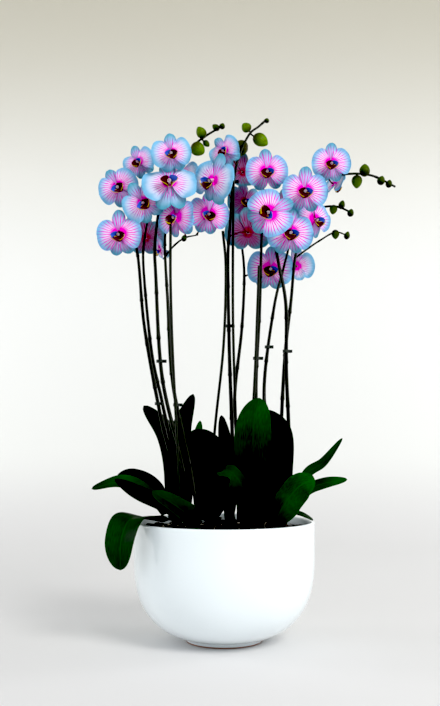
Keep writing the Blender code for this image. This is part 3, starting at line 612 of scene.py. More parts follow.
def finish_petal(name, colours, reach, glow, shine):
    """Petal: the veins in four colours, over a fine grain."""
    paint = Finish(name, 0.5, Specular_IOR_Level=shine, Subsurface_Weight=0.0)
    body, edge, vein, heart = colours
    out = paint.group(finish(group_petal, "petal_veins"), surface=paint.layer("surface"),
                      margin=paint.layer("margin"), body=body, edge=edge, vein=vein,
                      heart=heart, reach=reach, glow=glow)
    grain = paint.noise(paint.place(), 900.0, 2.0)
    return paint.show(Base_Color=out["Colour"], Roughness=grain * 0.25 + 0.38,
                      Normal=paint.bump(out["Height"], 0.0006, 0.8))


def finish_leaf(name, dark, light, rib, shine):
    """Waxy leaf: parallel veins, a paler midrib and margin, slow patches of tone, and painted
    light and shade that dims or brightens the whole blade.
    """
    paint = Finish(name, 0.3, Specular_IOR_Level=shine)
    surface, over, _, inside, tone = paint.layers()
    streak = paint.streaks(surface, 38.0, 14.0)
    patch = paint.noise(paint.place(), 22.0, 3.0)
    colour = paint.mix(paint.ease(streak * 0.55 + patch * 0.45, 0.32, 0.70), dark, light)
    colour = paint.mix(paint.ease(abs(over), 0.07, 0.0) * 0.6, colour, rib)
    colour = paint.mix(paint.ease(inside, 0.05, 0.0) * 0.7, colour, rib)
    height = paint.ribs(over * 46.0) * 0.35 + streak * 0.65
    # Painted light and shade: the margin's second part, the leaf's light value, dims the green.
    return paint.show(Base_Color=paint.dim(colour, tone * 1.2 + 0.06),
                      Normal=paint.bump(height, 0.00035, 0.55), Roughness=patch * 0.30 + 0.40)


def finish_stem(name, dark, light, roughness):
    """Green stem: streaks along it, freckles, and a paler skin where the tone is high."""
    paint = Finish(name, roughness, Specular_IOR_Level=0.25)
    surface, _, _, tone, _ = paint.layers()
    streak = paint.streaks(surface, 6.0, 60.0)
    freckle = paint.ease(paint.noise(paint.place(), 420.0, 2.0), 0.60, 0.70)
    colour = paint.mix(paint.ease(streak, 0.35, 0.75) * 0.5 + tone * 0.6, dark, light)
    return paint.show(Base_Color=paint.mix(freckle * 0.4, colour, dark),
                      Normal=paint.bump(streak, 0.0004, 0.6),
                      Roughness=streak * 0.3 + (roughness - 0.12))


def finish_bud(name, green, olive, blush):
    """Bud: fine ribs from base to tip, olive at the base, green above, flushed purple."""
    paint = Finish(name, 0.4, Specular_IOR_Level=0.15)
    surface, around, along, tone, _ = paint.layers()
    streak = paint.streaks(surface, 20.0, 2.0)
    colour = paint.mix(paint.ease(along + streak * 0.5, 0.35, 1.05), olive, green)
    flush = paint.ease(paint.noise(paint.place(), 90.0, 3.0), 0.52, 0.74)
    colour = paint.dim(paint.mix(flush * 0.55, colour, blush), tone * 1.4 + 0.2)
    ribs = paint.ribs(around * 62.8)
    return paint.show(Base_Color=paint.mix(paint.ease(ribs, 0.35, 0.0) * 0.5, colour, olive),
                      Normal=paint.bump(ribs, 0.0003, 0.7))


def finish_glaze(name, colour, bare):
    """White glaze with faint waves and pinholes, and a bare clay ring under the foot."""
    paint = Finish(name, 0.1, Specular_IOR_Level=0.55, Coat_Roughness=0.05)
    place = paint.place()
    wave = paint.noise(place, 14.0, 2.0)
    speck = paint.ease(paint.noise(place, 700.0, 1.0), 0.70, 0.78)
    tint = paint.mix(wave * 0.10, colour, (0.80, 0.86, 0.90))
    tint = paint.mix(speck * 0.12, tint, (0.55, 0.53, 0.48))
    foot = paint.ease(paint.split(place)[2] + wave * 0.0008, 0.0030, 0.0024)
    return paint.show(Base_Color=paint.mix(foot, tint, bare), Coat_Weight=foot * -0.6 + 0.6,
                      Roughness=foot * 0.6 + 0.12,
                      Normal=paint.bump(wave + speck * 0.04, 0.0006, 0.35))


def finish_bark(name, dark, light):
    """Bark: flaky cells of different browns with a fibrous grain."""
    paint = Finish(name, 0.85)
    place = paint.place()
    cell = paint.node("TexVoronoi", {"Vector": place, "Scale": 160.0}, "Distance")
    fibre = paint.node("Mapping", {"Vector": place, "Scale": (1.0, 1.0, 3.0)})
    grain = paint.noise(fibre, 260.0, 4.0, 0.65)
    tone = paint.layers()[3]
    colour = paint.mix(grain * 0.6 + tone * 0.5, dark, light)
    return paint.show(Base_Color=paint.mix(paint.ease(cell, 0.15, 0.55), colour, dark),
                      Normal=paint.bump(grain, 0.0012, 0.8))


def finish_plain(name, colour, worn, roughness, scale):
    """A moulded or cut surface: one colour that wanders a little, with a fine grain."""
    paint = Finish(name, roughness)
    place = paint.place()
    patch = paint.noise(place, scale, 3.0)
    return paint.show(Base_Color=paint.mix(paint.ease(patch, 0.35, 0.75), colour, worn),
                      Roughness=patch * 0.25 + (roughness - 0.10),
                      Normal=paint.bump(paint.noise(place, scale * 18.0, 2.0), 0.0002, 0.4))


def finish_lip(name, deep, gold, pale):
    """Lip: deep maroon with faint bars, a pale face where the tone is high, a gold margin."""
    paint = Finish(name, 0.16)
    _, over, along, inside, tone = paint.layers()
    mottle = paint.noise(paint.place(), 420.0, 3.0)
    bars = paint.ease(paint.ribs((mottle * 0.12 + over) * 15.0), 0.35, 0.05)
    colour = paint.mix(bars * 0.25, deep, (0.45, 0.02, 0.12))
    colour = paint.mix(paint.ease(along, 0.12, 0.55) * paint.ease(tone, 0.45, 0.9), colour, pale)
    edge = paint.ease(mottle * 0.10 + inside, 0.42, 0.22)
    return paint.show(Base_Color=paint.mix(edge, colour, gold),
                      Normal=paint.bump(mottle, 0.0003, 0.5))


def finish_paper(name, near_painted_shade, floor, upper):
    """Floor paper: its tint changes slowly with height as painted shade, darker by the bowl and
    darker and warmer high up, and a soft grain runs over it.
    """
    paint = Finish(name, 0.85)
    place = paint.place()
    height = paint.split(place)[2]
    # Painted shade: the floor by the bowl and the backdrop high up are darker.
    tint = paint.mix(paint.ease(height, 0.0, 0.30), near_painted_shade, floor)
    tint = paint.mix(paint.ease(height, 0.9, 2.7), tint, upper)
    return paint.show(Base_Color=paint.mix(paint.noise(place, 3.0, 4.0) * 0.04, tint,
                                           (0.80, 0.80, 0.80)))


def stem_finish():
    """The green skin of the stems."""
    spike = bpy.context.scene.orchid_spike
    return finish(finish_stem, "stem_skin", spike.dark, spike.light, 0.42)


# ---------------------------------------------------------------------------- settings


def colour(description, default):
    """A colour, named after what it colours."""
    return FloatVectorProperty(name=description, description="Colour: " + description.lower(),
                               default=default, subtype="COLOR", size=3, min=0.0, max=1.0)


def length(name, description, default):
    """A size in metres."""
    return FloatProperty(name=name, description=description, default=default, unit="LENGTH")


def power(name, description, default):
    """A light's power in watts."""
    return FloatProperty(name=name, description=description, default=default, unit="POWER")


class BowlSettings(bpy.types.PropertyGroup):
    radius: length("Radius", "Outer radius of the bowl", 0.150)
    height: length("Height", "Height of the rim", 0.1945)
    shoulder: length("Shoulder", "Height where the side turns upright", 0.150)
    wall: length("Wall", "Thickness of the wall", BOWL_WALL)
    foot_radius: length("Foot radius", "Radius of the foot", 0.063)
    steps: IntProperty(name="Steps", description="Facets round the bowl", default=128)
    glaze: colour("Glaze", (0.88, 0.95, 0.98))
    clay: colour("Bare foot", (0.30, 0.13, 0.07))


class BarkSettings(bpy.types.PropertyGroup):
    chips: IntProperty(name="Chips", description="Number of bark chips", default=420)
    chip_size: length("Chip size", "Usual length of a chip", 0.015)
    crumbs: IntProperty(name="Crumbs", description="Number of pale crumbs", default=70)
    dark: colour("Darkest bark", (0.012, 0.008, 0.005))
    light: colour("Lightest bark", (0.050, 0.028, 0.014))
    perlite: colour("Pale crumbs", (0.42, 0.38, 0.32))


class LeafSettings(bpy.types.PropertyGroup):
    fold: FloatProperty(name="Fold", description="Rise of the edges over the midrib, as a share",
                        default=0.22, subtype="FACTOR")
    thickness: length("Thickness", "Thickness at the midrib", 0.0024)
    dark: colour("Darker leaf green", (0.002, 0.014, 0.003))
    light: colour("Lighter leaf green", (0.008, 0.085, 0.006))
    rib: colour("Midrib and margin", (0.030, 0.105, 0.012))


class SpikeSettings(bpy.types.PropertyGroup):
    radius: length("Radius", "Radius of a spike at its base", 0.0033)
    tip: length("Tip radius", "Radius of a spike at its tip", 0.0018)
    node_gap: length("Node gap", "Distance between nodes", 0.075)
    dark: colour("Darker stem", (0.004, 0.005, 0.003))
    light: colour("Lighter stem", (0.014, 0.019, 0.006))
    stalk: colour("Flower stalks", (0.10, 0.015, 0.018))
    bud_green: colour("Fresh side of a bud", (0.15, 0.28, 0.003))
    bud_olive: colour("Base of a bud", (0.040, 0.048, 0.002))
    bud_blush: colour("Purple flush of a bud", (0.050, 0.018, 0.020))


class FlowerSettings(bpy.types.PropertyGroup):
    body: colour("Petals between the veins", (0.82, 0.80, 0.97))
    edge: colour("Cool margin of the petals", (0.18, 0.47, 0.72))
    vein: colour("Veins on the petals", (0.30, 0.030, 0.60))
    heart: colour("Centre of the flower", (0.95, 0.002, 0.62))
    sepal_body: colour("Sepals between the veins", (0.38, 0.56, 0.80))
    sepal_edge: colour("Cool margin of the sepals", (0.10, 0.36, 0.50))
    sepal_vein: colour("Veins on the sepals", (0.16, 0.04, 0.36))
    back_body: colour("Backs of the petals", (0.34, 0.16, 0.40))
    back_edge: colour("Margin of the backs", (0.09, 0.32, 0.42))
    back_vein: colour("Veins on the backs", (0.24, 0.004, 0.12))
    back_heart: colour("Centre of the backs", (0.34, 0.001, 0.05))
    lip: colour("Lip", (0.060, 0.001, 0.012))
    gold: colour("Margin of the lip", (0.72, 0.50, 0.010))
    lobe: colour("Inside of a side lobe", (0.05, 0.13, 0.72))
    thickness: length("Thickness", "Thickness of a petal", 0.0009)


class StageSettings(bpy.types.PropertyGroup):
    # The floor by the bowl and the backdrop high up are painted darker: painted shade.
    near_painted_shade: colour("Floor the bowl stands on", (0.74, 0.73, 0.73))
    floor: colour("Backdrop behind the leaves", (0.83, 0.83, 0.81))
    upper: colour("Backdrop high up", (0.57, 0.54, 0.45))
    key: power("Key light", "Power of the main light", 64.0)
    fill: power("Fill light", "Power of the side light", 8.0)
    backdrop: power("Backdrop lights", "Power of each light on the backdrop", 26.0)


# ---------------------------------------------------------------------------- ways


def medium_place(x, y, rise=0.0):
    """A place given in shares of the bowl's radius and metres over the medium."""
    return np.array([x * BOWL_RADIUS, y * BOWL_RADIUS, MEDIUM_TOP + rise])


def head_places(rows):
    """Places given as x, y and the drop below the topmost bud."""
    return [np.array([x, y, TOP - drop]) for x, y, drop in rows]


def rod_points(spec):
    """The way of a spike or stake: from the medium, up through its lower points and head."""
    start, head = medium_place(*spec[0]), head_places(spec[2])
    lower = [start + (head[0] - start) * share + (sway_x, sway_y, 0.0)
             for share, sway_x, sway_y in spec[1]]
    return [start, *lower, *head]


def flower_frame(spec):
    """Where a flower sits and how it is turned: its own +Z is the way that it faces."""
    x, y, drop, _, yaw, pitch, roll = spec[1:8]
    turn = (Matrix.Rotation(math.radians(yaw), 4, "Z")
            @ Matrix.Rotation(math.radians(90 - pitch), 4, "X")
            @ Matrix.Rotation(math.radians(roll), 4, "Z"))
    return np.array(Matrix.Translation((x, y, TOP - drop)) @ turn)


def nearest(way, point):
    """The point of a way that is nearest to the given one."""
    return way[np.linalg.norm(way - point, axis=1).argmin()]


# ---------------------------------------------------------------------------- bowl


class ORCHID_OT_bowl(bpy.types.Operator):
    """Turn the bowl: a curved side that is a superellipse, a rolled rim and a small foot"""

    bl_idname = "orchid.bowl"
    bl_label = "Bowl"

    def side(self, radius, bottom, count, inner_radius, shoulder):
        """Radius = R cos(t)^p and drop = H sin(t)^p, from the shoulder down."""
        bulge = 2.0 / SIDE_FULLNESS
        turn = np.linspace(0.0, math.acos((inner_radius / radius) ** (1 / bulge)), count)
        return np.column_stack([radius * np.cos(turn) ** bulge,
                                shoulder - (shoulder - bottom) * np.sin(turn) ** bulge])

    def execute(self, context):
        bowl = context.scene.orchid_bowl
        inner, half, foot = bowl.radius - bowl.wall, bowl.wall / 2, bowl.foot_radius
        turn = np.linspace(math.pi, 0.0, 14)
        rim = np.column_stack([inner + half + half * np.cos(turn),
                               bowl.height - half + half * np.sin(turn)])
        outer = self.side(bowl.radius, 0.0015, 60, foot + 0.0008, bowl.shoulder)
        inside = self.side(inner, 0.012, 40, 0.3 * inner, bowl.shoulder)
        under = [(foot, 0.0022), (foot - 0.0006, 0.0006), (foot - 0.003, 0.0),
                 (foot - 0.010, 0.0), (foot - 0.012, 0.0012), (0.004, 0.0012)]
        profile = np.vstack([[(0.004, inside[-1][1])], inside[::-1], rim, outer, under])
        radius, turns = profile[:, :1], circle(bowl.steps)
        rings = np.stack([radius * np.cos(turns), radius * np.sin(turns),
                          np.broadcast_to(profile[:, 1:], (len(profile), bowl.steps))], axis=-1)
        shape = Shape()
        shape.tube(rings, [(0, 0, profile[0][1]), (0, 0, profile[-1][1])])
        shape.finish("bowl_turned", [finish(finish_glaze, "bowl_glaze", bowl.glaze, bowl.clay)],
                     "bowl", ["bowl"], 40)
        return {"FINISHED"}


class ORCHID_OT_bark(bpy.types.Operator):
    """Fill the bowl: a rough bed with bark chips and pale crumbs scattered over it"""

    bl_idname = "orchid.bark"
    bl_label = "Bark and crumbs"

    def execute(self, context):
        bark = context.scene.orchid_bark
        chance = np.random.default_rng(11)
        reach = BOWL_RADIUS - BOWL_WALL - 0.0006
        radius, turn = np.meshgrid(np.linspace(0.004, reach, BED_RINGS), circle(BED_SIDES),
                                   indexing="ij")
        x, y = radius * np.cos(turn), radius * np.sin(turn)
        waves = (np.sin(x * 210 + 1.3 * np.sin(y * 160)) * np.sin(y * 190 + 0.7)
                 + 0.6 * np.sin(x * 470 + y * 390))
        level, under = MEDIUM_TOP - BED_SINK, MEDIUM_TOP - BED_DEPTH
        top = np.stack([x, y, level + 0.0012 * waves], axis=-1)
        low = np.stack([x[-1:], y[-1:], np.full((1, BED_SIDES), under)], axis=-1)
        bed = Shape()
        bed.tube(np.concatenate([top, low]), [(0, 0, level), (0, 0, under)])
        centre = self.strewn(bark.chips, reach, 0.86, (-0.002, 0.0045), -0.001, chance)
        size = bark.chip_size * chance.uniform(0.5, 1.3, bark.chips)
        self.lumps(bed, centre, size, size * chance.uniform(0.4, 0.8, bark.chips),
                   size * chance.uniform(0.16, 0.34, bark.chips), chance)
        bed.finish("bark_bed", [finish(finish_bark, "bark", bark.dark, bark.light)], "medium",
                   ["growing_medium"], 30)
        crumbs = Shape()
        centre = self.strewn(bark.crumbs, reach, 0.9, (0.0005, 0.003), 0.0, chance)
        size = chance.uniform(0.0025, 0.0065, bark.crumbs)
        self.lumps(crumbs, centre, size, size * 0.8, size * 0.7, chance)
        worn = tuple(0.7 * part for part in bark.perlite)
        crumbs.finish("perlite_crumbs", [finish(finish_plain, "perlite", bark.perlite, worn,
                                                0.9, 300.0)], "medium", (), 30)
        return {"FINISHED"}

    def strewn(self, count, reach, spread, heights, rise, chance):
        """Random places over the medium, evenly over its area."""
        away = reach * np.sqrt(chance.uniform(0.0, spread, count))
        around = chance.uniform(0, math.tau, count)
        return np.column_stack([away * np.cos(around), away * np.sin(around),
                                MEDIUM_TOP + rise + chance.uniform(*heights, count)])

    def lumps(self, shape, centre, length, width, height, chance):
        """Lumps: on each, radius in each direction = 1 over a power mean of the direction's
        parts, stretched to its size, tilted and turned at random."""
        rows, columns = 5, 7
        lift = np.linspace(-math.pi / 2, math.pi / 2, rows + 2)[1:-1]
        up, around = np.meshgrid(lift, circle(columns), indexing="ij")
        way = np.stack([np.cos(up) * np.cos(around), np.cos(up) * np.sin(around), np.sin(up)], -1)
        way = np.vstack([way.reshape(-1, 3), [(0, 0, -1), (0, 0, 1)]])
        boxy = way / (np.abs(way) ** 3.2).sum(axis=1, keepdims=True) ** (1 / 3.2)
        count, per = len(centre), len(way)
        wobble = 1.0 + chance.uniform(-0.16, 0.16, (count, per, 1))
        points = boxy[None] * wobble * np.stack([length, width, height], -1)[:, None] * 0.5
        yaw, tilt = chance.uniform(0, math.tau, count), chance.normal(0, 0.35, count)
        x, z = turned(points[..., 0], points[..., 2], tilt[:, None])
        x, y = turned(x, points[..., 1], yaw[:, None])
        points = np.stack([x, y, z], -1) + centre[:, None]
        quads, fans = (
            (faces[None] + (np.arange(count) * per)[:, None, None]).reshape(-1, faces.shape[1])
            for faces in tube_faces(rows, columns))
        tone = np.repeat(chance.uniform(0, 1, count), per)
        shape.add(points.reshape(-1, 3), quads, fans, 0, np.zeros((count * per, 2)),
                  np.column_stack([tone, tone]))


# ---------------------------------------------------------------------------- leaves


class ORCHID_OT_leaves(bpy.types.Operator):
    """Grow the strap leaves: a folded blade carried along each leaf's curve"""

    bl_idname = "orchid.leaves"
    bl_label = "Leaves"

    def execute(self, context):
        leaf = context.scene.orchid_leaf
        finishes = [
            finish(finish_leaf, "leaf_upper", leaf.dark, leaf.light, leaf.rib, 0.14),
            finish(finish_leaf, "leaf_lower", tuple(1.6 * part for part in leaf.dark),
                   tuple(1.5 * part for part in leaf.light), leaf.rib, 0.08)]
        for number, name in enumerate(LEAVES):
            self.blade(name, leaf, finishes, number)
        return {"FINISHED"}

    def blade(self, name, leaf, finishes, number):
        """Half the width is a rise from the sheath times a rounded end; the edges stand
        over the midrib by the fold, and a slow wave runs along each edge."""
        width, side_angle, tilt, taper, tone, rows = LEAVES[name]
        way = curve_through([medium_place(*row) for row in rows], 16)
        along = lengths_along(way)
        share = np.linspace(0, 1, len(way))
        level, lift = math.cos(math.radians(tilt)), math.sin(math.radians(tilt))
        side = np.array([level * math.cos(math.radians(side_angle)),
                         level * math.sin(math.radians(side_angle)), lift])
        half = 0.5 * width * np.clip(np.minimum(0.50 + 2.2 * share, 1.15 - 0.2 * share), 0, 1)
        half = np.convolve(np.pad(half, 3, mode="edge"), np.ones(7) / 7, "valid")
        half = (half * np.sqrt(np.clip(1.0 - share**taper, 0.0009, 1)))[:, None]
        tangent = unit(np.gradient(way, axis=0))
        across = unit(side - tangent * (tangent @ side)[:, None])
        upward = np.cross(tangent, across)
        flip = upward[len(upward) // 3, 2] < 0
        upward = -upward if flip else upward
        over = np.linspace(-1, 1, 17) if flip else np.linspace(-1, 1, 17)[::-1]
        crease = np.sqrt(over**2 + 0.004) - math.sqrt(0.004)
        ripple = (0.05 * np.sin(along * 75 + number * 1.7)[:, None] * np.abs(over) ** 3
                  * np.sign(over) * half)
        thick = (leaf.thickness * (0.30 + 0.70 * (1 - np.abs(over) ** 1.6))
                 * (0.45 + 0.55 * (1 - share**6))[:, None])
        rise = half * leaf.fold * crease + ripple + 0.5 * thick
        grid = way[:, None] + across[:, None] * (half * over)[..., None]
        grid = grid + upward[:, None] * rise[..., None]
        over, share = np.broadcast_arrays(over, share[:, None])
        inside = np.minimum(1 - np.abs(over), (1 - share) * 4)
        # Painted light and shade: the leaf's light value, darker towards the base on the
        # shaded-feet leaves.
        shade = ease(0.15, 1.0, share) if name in SHADED_FEET else 1.0
        shape = Shape()
        shape.sheet(grid, thick, (0, 1), np.stack([over, share], axis=-1),
                    np.stack([inside, np.broadcast_to(tone * shade, over.shape)], axis=-1))
        shape.finish(name + "_blade", finishes, "leaf", [name], 60)


# ---------------------------------------------------------------------------- spikes


class ORCHID_OT_spikes(bpy.types.Operator):
    """Grow the flower spikes: jointed stems with sheaths, crowns, flower stalks and buds"""

    bl_idname = "orchid.spikes"
    bl_label = "Spikes and buds"

    def execute(self, context):
        spike = context.scene.orchid_spike
        finishes = [stem_finish(),
                    finish(finish_stem, "stalk_skin", spike.stalk, spike.light, 0.5),
                    finish(finish_bud, "bud_skin", spike.bud_green, spike.bud_olive,
                           spike.bud_blush)]
        for name in SPIKES:
            self.spike(name, spike, finishes)
        return {"FINISHED"}

    def jointed(self, way, first, last, gap, offset):
        """The radius along a stem: an even taper, with a sheath at each node that starts
        with a step and thins away over 12 mm."""
        along = lengths_along(way)
        base = first + (last - first) * (along / along[-1]) ** 2
        since = (along - offset) % gap
        return base * (1.0 + 0.38 * np.exp(-since / 0.006) * ease(0.0, 0.0012, since))

    def spike(self, name, spike, finishes):
        points = rod_points(SPIKES[name])
        crowned = SPIKES[name][0] == CROWNS[name[0]]
        if not crowned:
            points[0] = points[0] + (0, 0, 0.0025)
        fine = curve_through(points, 24)
        along = lengths_along(fine)
        way = np.column_stack([np.interp(np.linspace(0, along[-1], 300), along, fine[:, axis])
                               for axis in range(3)])
        offset = 0.02 + 0.011 * (sum(map(ord, name)) % 7)
        shape = Shape()
        shape.rod(way, self.jointed(way, spike.radius, spike.tip, spike.node_gap, offset), 12, 0,
                  0.15)
        if crowned:
            base, over = points[0], way[12]
            crown = curve_through([base - (0, 0, 0.012), base, base + (0, 0, 0.012),
                                   over * 0.6 + np.array([*base[:2], over[2]]) * 0.4], 5)
            shape.rod(crown, np.linspace(0.0072, 0.0030, len(crown)), 14, 0, 0.35)
        upper = way[len(way) // 3:]
        for owner, rows in TWIGS:
            if owner == name:
                twig = curve_through(head_places(rows), 14)
                shape.rod(twig, self.jointed(twig, 0.0016, 0.0010, 0.022, 0.006), 9, 0, 0.3)
                upper = np.vstack([upper, twig])
        for number, bud in enumerate(BUDS):
            if bud[0] == name:
                self.bud(shape, upper, bud, number)
        for flower in FLOWERS.values():
            if flower[0] == name:
                self.stalk(shape, upper, flower)
        shape.finish("spike_" + name + "_stem", finishes, "spike", ["spike_" + name], 60)

    def stalk(self, shape, upper, flower):
        """A flower's stalk: from the nearest place on the stem to the back of the flower,
        with a sheath at its foot."""
        where = flower_frame(flower)
        facing, centre = where[:3, 2], where[:3, 3]
        back = centre - facing * PEDICEL_GAP
        up = np.array([0.0, 0.0, 1.0])
        foot = nearest(upper, back - up * 0.012 - facing * 0.012)
        bend = foot * 0.45 + (back - facing * 0.010) * 0.55 + up * 0.002
        stalk = curve_through([foot, bend, back - facing * 0.005, back], 8)
        thick = np.interp(np.linspace(0, 1, len(stalk)), [0, 0.1, 0.7, 1.0],
                          [0.0017, 0.0012, 0.0013, 0.0019])
        shape.rod(stalk, thick, 8, 1, 0.25)
        sheath = curve_through([foot, foot * 0.8 + bend * 0.2], 5)
        shape.rod(sheath, np.linspace(0.0026, 0.0013, len(sheath)), 8, 0, 0.5)

    def bud(self, shape, upper, spec, number):
        """A bud: radius = half the width times a power of the sine along it, with three
        shallow seams, on a short stalk from the stem."""
        centre = head_places([spec[1:4]])[0]
        room = BUD_ROOM * (CAD_BOX[1][2] - centre[2])
        size, width = (min(part * growth, room) for part, growth in zip(spec[4:6], BUD_GROWTH))
        foot = nearest(upper, centre)
        out = centre - foot
        far = np.linalg.norm(out)
        along = out / far if far > 0.003 else unit(np.array([0.3, 0.0, 1.0]))
        share = (1 - np.cos(np.linspace(0.04, 1, 22) * math.pi)) / 2
        fat = np.sin(math.pi * share**0.82) ** 0.62
        side = unit(np.cross(along, [0.31, -0.9, 0.2]))
        up = np.cross(side, along)
        turn = circle(24)
        seam = 1 - 0.07 * np.exp(-((((turn * 3 / math.tau + number * 0.3) % 1) - 0.5) / 0.09) ** 2)
        rings = (centre + along * (share[:, None, None] - 0.5) * size
                 + (0.5 * width * fat[:, None] * seam)[..., None]
                 * (side * np.cos(turn)[:, None] + up * np.sin(turn)[:, None]))
        shape.tube(rings, [centre - along * size * 0.5, centre + along * size * 0.5], 2, share,
                   spec[6])
        stalk = curve_through([foot, (foot + centre) / 2 + (0, 0, -0.001), centre], 5)
        shape.rod(stalk, np.linspace(0.0015, 0.0012, len(stalk)), 8, 0, 0.3)


class ORCHID_OT_stakes(bpy.types.Operator):
    """Set the stakes, and the clips that hold the spikes to them"""

    bl_idname = "orchid.stakes"
    bl_label = "Stakes and clips"

    def execute(self, context):
        cane = finish(finish_stem, "cane", (0.006, 0.008, 0.006), (0.020, 0.024, 0.012), 0.5)
        for name, spec in STAKES.items():
            points = rod_points(spec)
            way = np.vstack([points[0] - (0, 0, 0.035), curve_through(points, 20)])
            shape = Shape()
            shape.rod(way, STAKE_RADIUS, 12, 0, 0.2)
            shape.finish(name + "_cane", [cane], "stake", [name], 50)
        plastic = finish(finish_plain, "clip_plastic", (0.006, 0.010, 0.007),
                         (0.014, 0.020, 0.012), 0.45, 60.0)
        for number, (name, height, reach, angle) in enumerate(CLIPS):
            way = curve_through(rod_points(SPIKES[name]), 24)
            shape = Shape()
            self.clip(shape, way[np.abs(way[:, 2] - height).argmin()], reach,
                      math.radians(angle))
            shape.finish(f"clip_{number + 1}", [plastic], "stake", (), 40)
        return {"FINISHED"}

    def clip(self, shape, centre, reach, angle):
        """A sprung clip: a flat band bent into a ring, with two short jaws."""
        turn = np.linspace(0.35, math.tau - 0.35, 28)
        x = np.hstack([reach + 0.004, reach * np.cos(turn), reach + 0.004])
        y = np.hstack([0.0036, 0.0042 * np.sin(turn), -0.0036])
        way = np.column_stack([*turned(x, y, angle), 0 * x]) + centre
        side = np.cross(unit(np.gradient(way, axis=0)), [0, 0, 1.0])
        half, tall = CLIP_BAND
        corners = [(-half, -tall), (half, -tall), (half, tall), (-half, tall)]
        rings = np.stack([way + side * a + np.array([0, 0, b]) for a, b in corners], axis=1)
        last = len(way) * 4
        quads = np.vstack([grid_quads(len(way), 4, True), [[3, 2, 1, 0]],
                           [[last - 4, last - 3, last - 2, last - 1]]])
        blank = np.zeros((last, 2))
        shape.add(rings.reshape(-1, 3), quads, [], 0, blank, blank)


# ---------------------------------------------------------------------------- flowers


